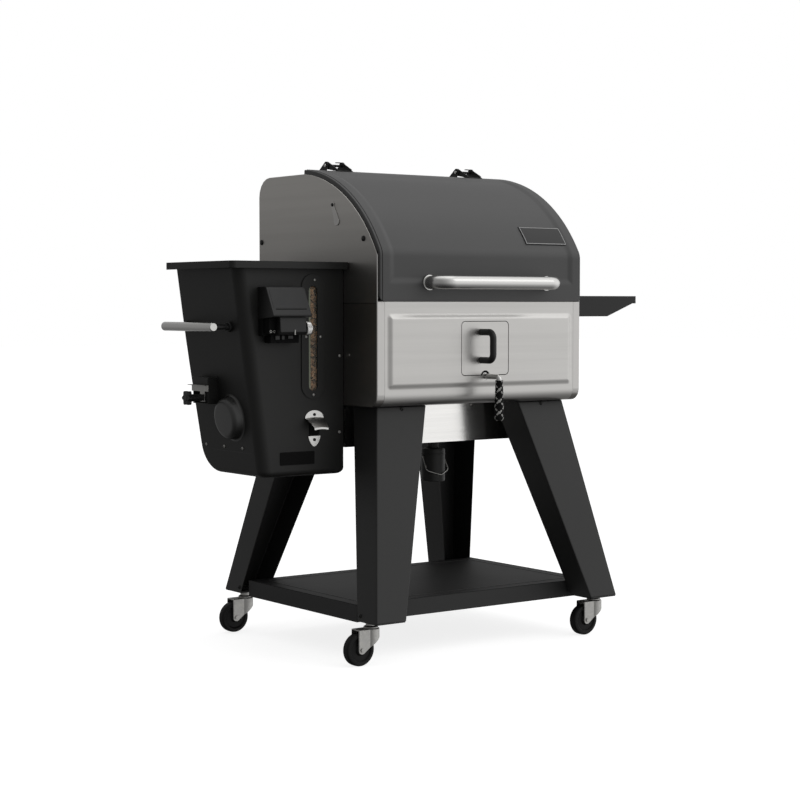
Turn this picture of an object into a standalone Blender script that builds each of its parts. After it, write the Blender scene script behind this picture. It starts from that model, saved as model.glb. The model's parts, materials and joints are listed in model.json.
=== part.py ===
"""Pellet smoker grill on a wheeled cart, one object per physical piece.

Metres, +Z up, +X to the cook's right, -Y towards the cook. Shapes are written about the cook box's
middle and shifted at the end, so that the origin is under the middle of the whole grill, on the ground.
"""

from math import asin, atan2, cos, degrees, pi, radians, sin, sqrt, tau

import bmesh
import bpy
from mathutils import Matrix, Vector

# Where the cook box's middle stands from the origin
SHIFT = Vector((0.0305, 0.0, 0.0))

# Cook box
SHEET = 0.002
FIT = 0.0005
HALF_W = 0.325
HALF_D = 0.267
FLOOR_Z = 0.616
SPLIT_Z = 0.8735
ROOF_Z = 1.195
ARC_Y, ARC_Z, ARC_R = 0.0904, 0.7917, 0.4054
ROOF_FRONT_Y = 0.0503
REAR_CORNER_R = 0.050
ROLL_R = 0.030
FLANGE_W = 0.0223
DOOR_X = 0.005
DOOR_W, DOOR_Z0, DOOR_Z1 = 0.150, 0.6885, 0.8225
LEVER = Vector((0.0055, -0.267, 0.6853))
PORT = Vector((LEVER.x, -0.0880, 0.7300))
GRATE_Z = 0.880

# Lid
LID_PROUD = 0.008
LID_ARC_R = ARC_R + 0.012
LID_HALF_W = 0.3215
HINGE_Y, HINGE_Z = 0.080, 1.2225
HINGE_X = 0.2125

# Hopper on the left
HOP_FRONT, HOP_REAR = -0.1248, 0.161
HOP_TOP_X, HOP_LOW_X = -0.6335, -0.561
HOP_Z0, HOP_Z1 = 0.447, 0.962
HOP_RIGHT_X = -HALF_W - 0.0015
LID_Z0, LID_Z1 = 0.9515, 0.9690
WINDOW_X = -0.4168
AUGER_Y, AUGER_Z = -0.015, 0.572

# Fire pot under the middle
POT = Vector((0.036, AUGER_Y, 0.0))
POT_R = 0.045

# Cart
LEG_TOP = Vector((0.2989, 0.2293, 0.6150))
LEG_FOOT = Vector((0.3858, 0.3496, 0.1057))
LEG_TOP_W, LEG_FOOT_W = 0.151, 0.0888
LEG_TOP_D, LEG_FOOT_D = 0.100, 0.080
SHELF_X, SHELF_Y = 0.3725, 0.2490
SHELF_Z0, SHELF_Z1 = 0.0970, 0.1400
CASTER_X, CASTER_Y = 0.3598, 0.2887
WHEEL_R, WHEEL_W = 0.040, 0.024
FORK_TOP = 0.0890
TRAIL = Vector((-0.0360, 0.0, 0.0))
ROUND = 24


# --- small helpers -------------------------------------------------------------------------------


def material(name, colour, roughness, metallic):
    """The part's own Principled material."""
    made = bpy.data.materials.new(name)
    made.use_nodes = True
    shader = made.node_tree.nodes["Principled BSDF"]
    shader.inputs["Base Color"].default_value = (*colour, 1.0)
    shader.inputs["Roughness"].default_value = roughness
    shader.inputs["Metallic"].default_value = metallic
    return made


FINISHES = {
    "stainless": ((0.55, 0.54, 0.52), 0.35, 1.0),
    "lid_paint": ((0.09, 0.09, 0.09), 0.45, 0.0),
    "black_paint": ((0.02, 0.02, 0.02), 0.5, 0.0),
    "polished": ((0.70, 0.70, 0.70), 0.15, 1.0),
    "enamel": ((0.03, 0.03, 0.03), 0.3, 0.0),
    "rubber": ((0.015, 0.015, 0.015), 0.7, 0.0),
    "plastic": ((0.02, 0.02, 0.02), 0.4, 0.0),
    "zinc": ((0.6, 0.6, 0.6), 0.35, 1.0),
    "clear": ((0.8, 0.85, 0.85), 0.05, 0.0),
    "wood": ((0.45, 0.28, 0.15), 0.8, 0.0),
    "cord": ((0.03, 0.03, 0.03), 0.9, 0.0),
}


def place(name, bm, finish, origin=(0, 0, 0), smooth=False):
    """Makes the object of a mesh written about the cook box, with its own origin at the given point."""
    origin = Vector(origin)
    bmesh.ops.translate(bm, verts=bm.verts, vec=-origin)
    mesh = bpy.data.meshes.new(name)
    bm.to_mesh(mesh)
    bm.free()
    obj = bpy.data.objects.new(name, mesh)
    bpy.context.scene.collection.objects.link(obj)
    obj.location = origin + SHIFT
    if finish:
        mesh.materials.append(material(name, *FINISHES[finish]))
    if smooth:
        mesh.shade_smooth()
        mesh.set_sharp_from_angle(angle=radians(35))
    return obj


def boolean(obj, bm, operation):
    """Joins or cuts a piece with a hidden guide shape."""
    guide = place(f"{obj.name}_guide", bm, None)
    guide.hide_render = True
    guide.display_type = "WIRE"
    step = obj.modifiers.new(operation, "BOOLEAN")
    step.operation = operation
    step.solver = "EXACT"
    step.object = guide


def join(obj, *shapes):
    for bm in shapes:
        boolean(obj, bm, "UNION")


def cut(obj, *shapes):
    for bm in shapes:
        boolean(obj, bm, "DIFFERENCE")


def outward(bm):
    bmesh.ops.recalc_face_normals(bm, faces=bm.faces)
    return bm


def box(lo, hi):
    """A block from its lowest to its highest corner."""
    lo, hi = Vector(lo), Vector(hi)
    bm = bmesh.new()
    bmesh.ops.create_cube(bm, size=1.0)
    bmesh.ops.scale(bm, verts=bm.verts, vec=hi - lo)
    bmesh.ops.translate(bm, verts=bm.verts, vec=(lo + hi) / 2)
    return bm


def lift(point, axis, along):
    """A flat point set in space: axis X takes (y, z), axis Y takes (x, z), axis Z takes (x, y)."""
    a, b = point
    return {"X": (along, a, b), "Y": (a, along, b), "Z": (a, b, along)}[axis]


def prism(outline, axis, start, end):
    """An outline pushed along an axis into a solid."""
    bm = bmesh.new()
    face = bm.faces.new([bm.verts.new(lift(p, axis, start)) for p in outline])
    pushed = bmesh.ops.extrude_face_region(bm, geom=[face])
    moved = [v for v in pushed["geom"] if isinstance(v, bmesh.types.BMVert)]
    bmesh.ops.translate(bm, verts=moved, vec=Vector(lift((0, 0), axis, end - start)))
    return outward(bm)


def arc(centre, radius, start, end, steps):
    """Points of an arc, angles in degrees."""
    turn = radians(end - start) / steps
    first = radians(start)
    return [
        (centre[0] + radius * cos(first + turn * i), centre[1] + radius * sin(first + turn * i))
        for i in range(steps + 1)
    ]


def rounded(x0, x1, y0, y1, radius, steps=4):
    """A rectangle's outline with round corners."""
    corners = ((x1, y0, -90), (x1, y1, 0), (x0, y1, 90), (x0, y0, 180))
    outline = []
    for x, y, start in corners:
        centre = (x + (radius if x == x0 else -radius), y + (radius if y == y0 else -radius))
        outline += arc(centre, radius, start, start + 90, steps)
    return outline


def offset_path(path, distance):
    """The same open path moved sideways, to its left, with its corners kept."""
    moved = []
    for i, point in enumerate(path):
        here = Vector(point)
        before = (here - Vector(path[i - 1])).normalized() if i else None
        after = (Vector(path[i + 1]) - here).normalized() if i < len(path) - 1 else None
        before, after = before or after, after or before
        normal = (Vector((-before.y, before.x)) + Vector((-after.y, after.x))).normalized()
        stretch = normal.dot(Vector((-before.y, before.x)))
        moved.append(tuple(here + normal * distance / stretch))
    return moved


def bent_sheet(path, axis, start, end, thickness=SHEET):
    """A folded sheet: a path given thickness to its left and pushed along an axis."""
    return prism(list(path) + offset_path(path, thickness)[::-1], axis, start, end)


def rod(start, end, radius, steps=16):
    """A round bar between two points."""
    start, end = Vector(start), Vector(end)
    bm = bmesh.new()
    bmesh.ops.create_cone(
        bm, cap_ends=True, segments=steps, radius1=radius, radius2=radius, depth=(end - start).length
    )
    turn = Vector((0, 0, 1)).rotation_difference(end - start).to_matrix().to_4x4()
    bmesh.ops.transform(bm, verts=bm.verts, matrix=Matrix.Translation((start + end) / 2) @ turn)
    return bm


def turned(profile, centre, axis, steps=ROUND):
    """A closed (radius, height) outline turned about an axis through a point."""
    bm = bmesh.new()
    rings = []
    for radius, height in profile:
        if radius == 0:
            rings.append([bm.verts.new((0, 0, height))] * steps)
        else:
            circle = arc((0, 0), radius, 0, 360, steps)[:-1]
            rings.append([bm.verts.new((x, y, height)) for x, y in circle])
    for low, high in zip(rings, rings[1:] + rings[:1]):
        for i in range(steps):
            j = (i + 1) % steps
            corners = list(dict.fromkeys((low[i], low[j], high[j], high[i])))
            if len(corners) > 2:
                bm.faces.new(corners)
    turn = Vector((0, 0, 1)).rotation_difference(Vector(axis)).to_matrix().to_4x4()
    bmesh.ops.transform(bm, verts=bm.verts, matrix=Matrix.Translation(centre) @ turn)
    return outward(bm)


def pipe(name, points, radius, finish, wall=None, steps=2):
    """A bent bar or open tube that follows a smooth line of points."""
    curve = bpy.data.curves.new(f"{name}_line", "CURVE")
    curve.dimensions = "3D"
    curve.bevel_depth = radius
    curve.bevel_resolution = steps
    curve.use_fill_caps = wall is None
    line = curve.splines.new("POLY")
    line.points.add(len(points) - 1)
    for point, at in zip(line.points, points):
        point.co = (*at, 1.0)
    holder = bpy.data.objects.new(f"{name}_line", curve)
    bpy.context.scene.collection.objects.link(holder)
    mesh = holder.to_mesh()
    bm = bmesh.new()
    bm.from_mesh(mesh)
    bpy.data.objects.remove(holder)
    bmesh.ops.remove_doubles(bm, verts=bm.verts, dist=0.00001)
    made = place(name, outward(bm), finish)
    if wall:
        skin = made.modifiers.new("wall", "SOLIDIFY")
        skin.thickness = wall
        skin.offset = -1.0
    return made


def fillet(points, radius, steps=5):
    """A line through points with each inner corner rounded."""
    points = [Vector(p) for p in points]
    line = [points[0]]
    for a, b, c in zip(points, points[1:], points[2:]):
        back, on = (a - b).normalized(), (c - b).normalized()
        half = back.angle(on) / 2
        reach = radius / (sin(half) / cos(half))
        middle = b + (back + on).normalized() * radius / sin(half)
        first, last = b + back * reach, b + on * reach
        for i in range(steps + 1):
            spoke = (first - middle).slerp(last - middle, i / steps)
            line.append(middle + spoke.normalized() * radius)
    return line + [points[-1]]


def grille(lo, hi, bars, rim, along="X"):
    """A flat grille: a rimmed plate with straight slots between its bars."""
    plate = box(lo, hi)
    if along == "X":
        span, cross = (lo[0] + rim, hi[0] - rim), (lo[1] + rim, hi[1] - rim)
    else:
        span, cross = (lo[1] + rim, hi[1] - rim), (lo[0] + rim, hi[0] - rim)
    pitch = (cross[1] - cross[0]) / bars
    slots = []
    for i in range(bars):
        a = cross[0] + pitch * (i + 0.2)
        b = cross[0] + pitch * (i + 0.8)
        low = (span[0], a, lo[2] - 0.01) if along == "X" else (a, span[0], lo[2] - 0.01)
        high = (span[1], b, hi[2] + 0.01) if along == "X" else (b, span[1], hi[2] + 0.01)
        slots.append(box(low, high))
    return plate, slots


def merged(shapes):
    """Several separate shapes in one guide mesh."""
    whole = bmesh.new()
    for bm in shapes:
        mesh = bpy.data.meshes.new("part")
        bm.to_mesh(mesh)
        bm.free()
        whole.from_mesh(mesh)
        bpy.data.meshes.remove(mesh)
    return whole


# --- cook box ------------------------------------------------------------------------------------


def arc_angle(y, radius):
    """Angle on the roof's arc, in degrees, of the point at a given depth."""
    return 180 - asin(sqrt(1 - ((y - ARC_Y) / radius) ** 2)) * 180 / pi if y < ARC_Y else 90


def side_outline():
    """The side panel seen from the side, as (y, z): roll, floor line, back, roof and front arc."""
    roll = arc((-HALF_D + ROLL_R, FLOOR_Z + ROLL_R), ROLL_R, 180, 270, 5)
    rear = arc((HALF_D - REAR_CORNER_R, ROOF_Z - REAR_CORNER_R), REAR_CORNER_R, 0, 90, 5)
    front = arc(
        (ARC_Y, ARC_Z), ARC_R, arc_angle(ROOF_FRONT_Y, ARC_R), arc_angle(-HALF_D, ARC_R), 12
    )
    return roll + [(HALF_D, FLOOR_Z)] + rear + front


def front_path():
    """The front panel's section: up from behind the roll to just under the lid."""
    roll = arc((-HALF_D + ROLL_R, FLOOR_Z + ROLL_R), ROLL_R, 270, 180, 5)
    return [(-HALF_D + ROLL_R + 0.004, FLOOR_Z)] + roll + [(-HALF_D, SPLIT_Z - 0.0015)]


def side_panel(name, side):
    """A flat side with its front flange and the two ledges that carry the grates."""
    inner, outer = sorted((side * HALF_W, side * (HALF_W - SHEET)))
    panel = place(name, prism(side_outline(), "X", inner, outer), "stainless")
    lip = sorted((side * (HALF_W - SHEET / 2), side * (HALF_W - FLANGE_W)))
    join(panel, bent_sheet(front_path(), "X", lip[0], lip[1], -SHEET))
    reach = sorted((side * (HALF_W - SHEET / 2), side * (HALF_W - 0.020)))
    for y0, y1, top in ((-0.225, 0.225, GRATE_Z), (-0.080, 0.200, 1.030)):
        join(panel, box((reach[0], y0, top - SHEET), (reach[1], y1, top)))
    if side < 0:
        cut(panel, rod((-0.4, AUGER_Y, AUGER_Z), (-0.3, AUGER_Y, AUGER_Z), 0.0265, ROUND))
    return panel


def front_panel():
    """The brushed front below the lid, with the smoke drawer's opening and the lever's notch."""
    half = HALF_W - FLANGE_W - FIT
    panel = place("front_panel", bent_sheet(front_path(), "X", -half, half, -SHEET), "stainless")
    gap = 0.0015
    opening = rounded(
        DOOR_X - DOOR_W / 2 - gap, DOOR_X + DOOR_W / 2 + gap, DOOR_Z0 - gap, DOOR_Z1 + gap, 0.011
    )
    notch = rod(LEVER + Vector((0, -0.02, 0)), LEVER + Vector((0, 0.02, 0)), 0.0095)
    cut(panel, prism(opening, "Y", -HALF_D - 0.02, -HALF_D + 0.02), notch)


def back_panel():
    """The back and rear roof in one sheet, with a row of smoke vents."""
    corner = arc((HALF_D - REAR_CORNER_R, ROOF_Z - REAR_CORNER_R), REAR_CORNER_R, 0, 90, 6)
    path = [(HALF_D, FLOOR_Z + FIT)] + corner + [(ROOF_FRONT_Y + 0.008, ROOF_Z)]
    half = HALF_W - SHEET - FIT
    panel = place("back_panel", bent_sheet(path, "X", -half, half), "stainless")
    vents = [
        box((x - 0.035, HALF_D - 0.02, z), (x + 0.035, HALF_D + 0.02, z + 0.006))
        for x in (-0.16, -0.08, 0.0, 0.08, 0.16)
        for z in (1.085, 1.105)
    ]
    cut(panel, merged(vents))


def floor_panel():
    """The cook box's floor, open where the fire pot stands."""
    half = HALF_W - SHEET - FIT
    low = (-half, -HALF_D + ROLL_R + 0.005, FLOOR_Z)
    floor = place("floor_panel", box(low, (half, HALF_D - SHEET - FIT, FLOOR_Z + SHEET)), "enamel")
    cut(floor, rod(POT + Vector((0, 0, 0.58)), POT + Vector((0, 0, 0.66)), POT_R + 0.002, ROUND))


def smoke_box():
    """The sleeve behind the front panel that the smoke drawer slides in, with its port at the back."""
    x0, x1, z0, z1 = DOOR_X - 0.0800, DOOR_X + 0.0800, 0.6990, 0.8350
    sleeve = place("smoke_box", box((x0, -0.2640, z0), (x1, PORT.y, z1)), "enamel")
    cut(sleeve, box((x0 + SHEET, -0.3, z0 + SHEET), (x1 - SHEET, PORT.y - SHEET, z1 - SHEET)))
    draughts = [rod((DOOR_X + x, -0.12, z0 - 0.01), (DOOR_X + x, -0.12, z0 + 0.01), 0.018) for x in (-0.04, 0.04)]
    cut(sleeve, merged(draughts), rod(PORT + Vector((0, -0.01, 0)), PORT + Vector((0, 0.01, 0)), 0.016))


def inside_pieces():
    """Drip tray, heat deflector, grates and fire pot."""
    tray = bent_sheet(
        [(-0.300, 0.872), (-0.300, 0.862), (0.300, 0.846), (0.300, 0.858)], "Y", -0.255, 0.250, -SHEET
    )
    place("drip_tray", tray, "enamel")
    roof = [(0.110, 0.6185), (0.095, 0.680), (0.0, 0.700), (-0.095, 0.680), (-0.110, 0.6185)]
    path = [(POT.x + x, z) for x, z in roof]
    place("heat_deflector", bent_sheet(path, "Y", -0.0660, 0.1200), "enamel")
    plate, slots = grille((-0.318, -0.240, GRATE_Z + FIT), (0.318, 0.240, GRATE_Z + 0.0065), 16, 0.012)
    cut(place("lower_grate", plate, "enamel"), merged(slots))
    plate, slots = grille((-0.318, -0.080, 1.0305), (0.318, 0.205, 1.0365), 9, 0.012)
    cut(place("upper_rack", plate, "polished"), merged(slots))


def fire_pot():
    """The cast pot with the ash tube below it, open to the auger on its left."""
    neck = 0.015
    wall = 0.003
    profile = [
        (POT_R, 0.640), (POT_R, 0.525), (neck, 0.512), (neck, 0.478),
        (neck - wall, 0.478), (neck - wall, 0.514), (POT_R - wall, 0.528), (POT_R - wall, 0.640),
    ]
    pot = place("fire_pot", turned(profile, POT, (0, 0, 1)), "enamel", smooth=True)
    cut(pot, rod((POT.x - 0.06, AUGER_Y, AUGER_Z), (POT.x - 0.02, AUGER_Y, AUGER_Z), 0.021, 16))


def base_skirt():
    """The open-topped steel box under the floor that wraps the fire pot."""
    half_x, half_y, z0, z1 = 0.310, 0.1078, 0.5102, FLOOR_Z - FIT
    skirt = place("base_skirt", box((-half_x, -half_y, z0), (half_x, half_y, z1)), "stainless")
    inner = box((-half_x + SHEET, -half_y + SHEET, z0 + SHEET), (half_x - SHEET, half_y - SHEET, z1 + 0.01))
    auger = rod((-half_x - 0.02, AUGER_Y, AUGER_Z), (-half_x + 0.02, AUGER_Y, AUGER_Z), 0.0265, ROUND)
    neck = rod(POT + Vector((0, 0, z0 - 0.02)), POT + Vector((0, 0, z0 + 0.0022)), 0.0165, ROUND)
    cut(skirt, inner, auger, neck)


def ash_cup():
    """The cup that hangs on the ash tube."""
    profile = [
        (0.0, 0.400), (0.0315, 0.400), (0.0315, 0.485), (0.0180, 0.489),
        (0.0180, 0.487), (0.0295, 0.483), (0.0295, 0.402), (0.0, 0.402),
    ]
    place("ash_cup", turned(profile, POT, (0, 0, 1)), "black_paint", POT + Vector((0, 0, 0.45)), True)


# --- lid -----------------------------------------------------------------------------------------


def lid_path(inset=0.0):
    """The lid's section from its front lower edge, up and back over the arc, as (y, z)."""
    radius = LID_ARC_R - inset
    front = -HALF_D - LID_PROUD + inset
    sweep = arc(
        (ARC_Y, ARC_Z), radius, arc_angle(front, radius), arc_angle(ROOF_FRONT_Y + 0.004, radius), 14
    )
    return [(front, SPLIT_Z)] + sweep


def lid_pieces():
    """The lid's skin with its two side returns, and what is fixed to it."""
    hinge = (0, HINGE_Y, HINGE_Z)
    skin = place(
        "lid_shell", bent_sheet(lid_path(), "X", -LID_HALF_W, LID_HALF_W, -SHEET), "lid_paint", hinge
    )
    side = lid_path(0.001) + lid_path(0.022)[::-1]
    for x in (-LID_HALF_W + 0.0003, LID_HALF_W - 0.0023):
        join(skin, prism(side, "X", x, x + SHEET))
    span, reach, z = 0.1881, 0.0520, 0.919
    face = -HALF_D - LID_PROUD - FIT
    points = [(-span, face, z), (-span, face - reach, z), (span, face - reach, z), (span, face, z)]
    bar = pipe("lid_handle", fillet([Vector(p) + Vector((0.0135, 0, 0)) for p in points], 0.034), 0.0165,
               "polished", wall=0.0015, steps=3)
    move_origin(bar, hinge)
    badge_low, badge_high = arc_angle(-0.2590, LID_ARC_R), arc_angle(-0.2245, LID_ARC_R)
    face_path = arc((ARC_Y, ARC_Z), LID_ARC_R + FIT, badge_low, badge_high, 3)
    place("lid_badge", bent_sheet(face_path, "X", 0.1512, 0.2876, 0.0015), "black_paint", hinge)
    for name, x in (("hinge_leaf_left", -HINGE_X), ("hinge_leaf_right", HINGE_X)):
        hinge_leaf(name, x, hinge)


def move_origin(obj, origin):
    """Puts an object's origin elsewhere without moving its shape."""
    shift = Vector(origin) + SHIFT - obj.location
    obj.data.transform(Matrix.Translation(-shift))
    obj.location += shift


def hinge_leaf(name, x, hinge):
    """The lid's half of a hinge: a foot bent to the lid, two ears and the stop tab between them."""
    radius = LID_ARC_R + FIT
    sole = arc((ARC_Y, ARC_Z), radius, arc_angle(0.0300, radius), arc_angle(0.0520, radius), 2)
    leaf = place(name, bent_sheet(sole, "X", x - 0.0235, x + 0.0235), "black_paint", hinge)
    ear = [(0.0530, 1.2085), (0.0340, 1.2070), (0.0340, 1.2110)]
    ear += arc((HINGE_Y, HINGE_Z), 0.0100, 110, -60, 8)
    for side in (-1, 1):
        inner = x + side * 0.0222
        join(leaf, prism(ear, "X", inner - 0.0012, inner + 0.0012))
    join(leaf, box((x + 0.004, HINGE_Y - 0.006, HINGE_Z + 0.0072), (x + 0.0222, HINGE_Y + 0.002, HINGE_Z + 0.0092)))
    cut(leaf, rod((x - 0.03, HINGE_Y, HINGE_Z), (x + 0.03, HINGE_Y, HINGE_Z), 0.0036))


def hinge_base(name, x):
    """The roof's half of a hinge: a foot, two ears outside the lid's and the pin through all four."""
    foot = ROOF_Z + 0.0003
    base = place(name, box((x - 0.0268, 0.0850, foot), (x + 0.0268, 0.1240, foot + 0.0025)), "black_paint")
    ear = [(0.0860, foot + 0.0010), (0.1230, foot + 0.0010), (0.1230, foot + 0.0070)]
    ear += arc((HINGE_Y, HINGE_Z), 0.0100, 50, 240, 9)
    for side in (-1, 1):
        middle = x + side * 0.0255
        join(base, prism(ear, "X", middle - 0.0012, middle + 0.0012))
    join(base, rod((x - 0.0290, HINGE_Y, HINGE_Z), (x + 0.0290, HINGE_Y, HINGE_Z), 0.0032))


# --- smoke drawer and valve ----------------------------------------------------------------------


def smoke_drawer():
    """The door, the open ash box behind it, and the pull."""
    half = DOOR_W / 2
    outline = rounded(DOOR_X - half, DOOR_X + half, DOOR_Z0, DOOR_Z1, 0.010)
    door = place("drawer_door", prism(outline, "Y", -HALF_D, -HALF_D + SHEET), "stainless")
    cut(door, rod(LEVER + Vector((0, -0.02, 0)), LEVER + Vector((0, 0.02, 0)), 0.0140, 20))
    side, front, back, z0, z1 = 0.0700, -HALF_D + SHEET + 0.0003, -0.0960, 0.7020, 0.8050
    tub = place("drawer_box", box((DOOR_X - side, front, z0), (DOOR_X + side, back, z1)), "enamel")
    inner = box(
        (DOOR_X - side + SHEET, front + SHEET, z0 + SHEET), (DOOR_X + side - SHEET, back - SHEET, z1 + 0.01)
    )
    cut(tub, inner)
    x, z, reach, half_h = -0.0080, 0.7610, 0.0525, 0.0352
    face = -HALF_D - 0.0003
    points = [(x, face, z + half_h), (x, face - reach, z + half_h), (x, face - reach, z - half_h), (x, face, z - half_h)]
    pipe("drawer_handle", fillet(points, 0.016), 0.0083, "plastic", steps=2)


def valve_lever():
    """The shaft of the smoke valve, bent down in front into the corded grip, and its flap at the back."""
    front = LEVER.y - 0.060
    points = [(LEVER.x, -0.0720, LEVER.z), (LEVER.x, front, LEVER.z), (LEVER.x, front, LEVER.z - 0.0137)]
    shaft = pipe("valve_shaft", fillet(points, 0.009), 0.0068, "polished", steps=2)
    move_origin(shaft, LEVER)
    flap = arc((LEVER.x, LEVER.z), 0.0130, 180, 360, 8) + arc((PORT.x, PORT.z), 0.0210, 0, 180, 10)
    plate = place("valve_plate", prism(flap, "Y", -0.0800, -0.0780), "stainless", LEVER)
    cut(plate, rod(LEVER, LEVER + Vector((0, 0.25, 0)), 0.0072))
    grip = [(0.0, -0.0141), (0.0098, -0.0141), (0.0108, -0.0500), (0.0117, -0.0960), (0.0080, -0.1080), (0.0, -0.1105)]
    centre = (LEVER.x, front, LEVER.z)
    place("lever_grip", turned(grip, centre, (0, 0, 1), 12), "cord", LEVER, True)


# --- hopper --------------------------------------------------------------------------------------


def hopper_left(z):
    """The slanted left wall's position at a height."""
    t = (HOP_Z1 - z) / (HOP_Z1 - HOP_Z0)
    return HOP_TOP_X + (HOP_LOW_X - HOP_TOP_X) * t


def tapered(x_left, x_right, front, rear, z0, z1):
    """A block whose left wall leans: x_left gives its place at a height."""
    bm = bmesh.new()
    rings = []
    for z in (z0, z1):
        corners = ((x_left(z), front), (x_right, front), (x_right, rear), (x_left(z), rear))
        rings.append([bm.verts.new((x, y, z)) for x, y in corners])
    bm.faces.new(rings[0][::-1])
    bm.faces.new(rings[1])
    for i in range(4):
        j = (i + 1) % 4
        bm.faces.new((rings[0][i], rings[0][j], rings[1][j], rings[1][i]))
    return outward(bm)


def edges_between(bm, test):
    return [e for e in bm.edges if all(test(v.co) for v in e.verts)]


def soften(bm, edges, width, steps):
    bmesh.ops.bevel(
        bm, geom=edges, offset=width, offset_type="OFFSET", segments=steps, profile=0.5, affect="EDGES",
        material=-1, clamp_overlap=True,
    )


def hopper_shell():
    """The tapered pressed bin, open at the top, with its round motor bulge and window slot."""
    bm = tapered(hopper_left, HOP_RIGHT_X, HOP_FRONT, HOP_REAR, HOP_Z0, HOP_Z1)
    near = 0.0001
    low = lambda v: abs(v.z - HOP_Z0) < near
    front = lambda v: abs(v.y - HOP_FRONT) < near
    rear = lambda v: abs(v.y - HOP_REAR) < near
    soften(bm, edges_between(bm, lambda v: low(v) and rear(v)), 0.070, 6)
    soften(bm, edges_between(bm, lambda v: front(v) and v.x < -0.5), 0.026, 4)
    bottom = [e for e in bm.edges if all(abs(v.co.z - HOP_Z0) < near for v in e.verts)
              and not all(abs(v.co.y - 0.091) < 0.002 for v in e.verts)]
    soften(bm, bottom, 0.014, 3)
    top = [f for f in bm.faces if all(abs(v.co.z - HOP_Z1) < near for v in f.verts)]
    bmesh.ops.delete(bm, geom=top, context="FACES")
    shell = place("hopper_shell", bm, "black_paint")
    wall = shell.modifiers.new("wall", "SOLIDIFY")
    wall.thickness = SHEET
    wall.offset = -1.0
    wall.use_even_offset = True
    bulge_z = 0.5897
    lean = atan2(HOP_LOW_X - HOP_TOP_X, HOP_Z1 - HOP_Z0)
    out = Vector((-cos(lean), 0, -sin(lean)))
    middle = Vector((hopper_left(bulge_z), AUGER_Y, bulge_z))
    dish = [(0.0, -0.0012), (0.0560, -0.0012), (0.0530, 0.0150), (0.0500, 0.0220), (0.0430, 0.0250), (0.0, 0.0255)]
    join(shell, turned(dish, middle, out))
    slot = rounded(WINDOW_X - 0.0135, WINDOW_X + 0.0135, 0.6540, 0.9110, 0.0130, 5)
    cut(shell, prism(slot, "Y", HOP_FRONT - 0.01, HOP_FRONT + 0.01))
    cut(shell, rod((-0.35, AUGER_Y, AUGER_Z), (-0.30, AUGER_Y, AUGER_Z), 0.0265, ROUND))


def hopper_lid():
    """The flat cap with its rim turned down at the front and left, where it bows out a little."""
    right, left, front, rear = HOP_RIGHT_X - FIT, -0.6590, -0.1465, 0.1750
    bow = 0.0025
    outline = [(right, rear), (left + 0.012, rear), (left, rear - 0.012)]
    outline += [(left - bow * sin(pi * t / 4), rear - 0.03 - (rear - front - 0.05) * t / 4) for t in range(1, 4)]
    outline += [(left, front + 0.014), (left + 0.014, front)]
    outline += [(left + 0.03 + (right - left - 0.03) * t / 4, front - bow * sin(pi * t / 4)) for t in range(1, 5)]
    hinge = (0, rear - 0.004, LID_Z1 - 0.006)
    cap = place("hopper_lid", prism(outline, "Z", LID_Z0, LID_Z1), "black_paint", hinge)
    hollow = box((left + SHEET, front + SHEET, LID_Z0 - 0.01), (right + 0.01, rear + 0.01, LID_Z1 - SHEET))
    cut(cap, hollow)


def hopper_handle():
    """The push bar: a round bar on two posts."""
    x, z, front, rear = -0.6680, 0.8115, -0.0780, 0.1600
    wall = hopper_left(z) - 0.0003
    bar = place("hopper_handle", rod((x, front, z), (x, rear, z), 0.0110, 16), "polished")
    for y in (front + 0.016, rear - 0.016):
        join(bar, rod((x, y, z), (wall - 0.0012, y, z), 0.0060, 10))


def hopper_window():
    """The bezel plate, the clear strip behind it and the wood pellets that it shows."""
    bezel = rounded(WINDOW_X - 0.0335, WINDOW_X + 0.0335, 0.6350, 0.9400, 0.0330, 6)
    face = HOP_FRONT - 0.0003
    frame = place("window_frame", prism(bezel, "Y", face - 0.0025, face), "black_paint")
    slot = rounded(WINDOW_X - 0.0130, WINDOW_X + 0.0130, 0.6545, 0.9105, 0.0125, 5)
    cut(frame, prism(slot, "Y", face - 0.01, face + 0.01))
    pane = rounded(WINDOW_X - 0.022, WINDOW_X + 0.022, 0.646, 0.919, 0.010, 3)
    inner = HOP_FRONT + SHEET + 0.0003
    place("window_pane", prism(pane, "Y", inner, inner + 0.002), "clear")
    bm = bmesh.new()
    rings = []
    for z, x0, x1, y0, y1 in (
        (0.610, -0.500, -0.420, AUGER_Y - 0.015, AUGER_Y + 0.015),
        (0.654, hopper_left(0.654) + 0.030, HOP_RIGHT_X - 0.004, inner + 0.0025, HOP_REAR - 0.005),
        (0.915, hopper_left(0.915) + 0.030, HOP_RIGHT_X - 0.004, inner + 0.0025, HOP_REAR - 0.005),
    ):
        rings.append([bm.verts.new((x, y, z)) for x, y in ((x0, y0), (x1, y0), (x1, y1), (x0, y1))])
    bm.faces.new(rings[0])
    bm.faces.new(rings[-1])
    for low, high in zip(rings, rings[1:]):
        for i in range(4):
            bm.faces.new((low[i], low[(i + 1) % 4], high[(i + 1) % 4], high[i]))
    place("pellets", outward(bm), "wood")


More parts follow.
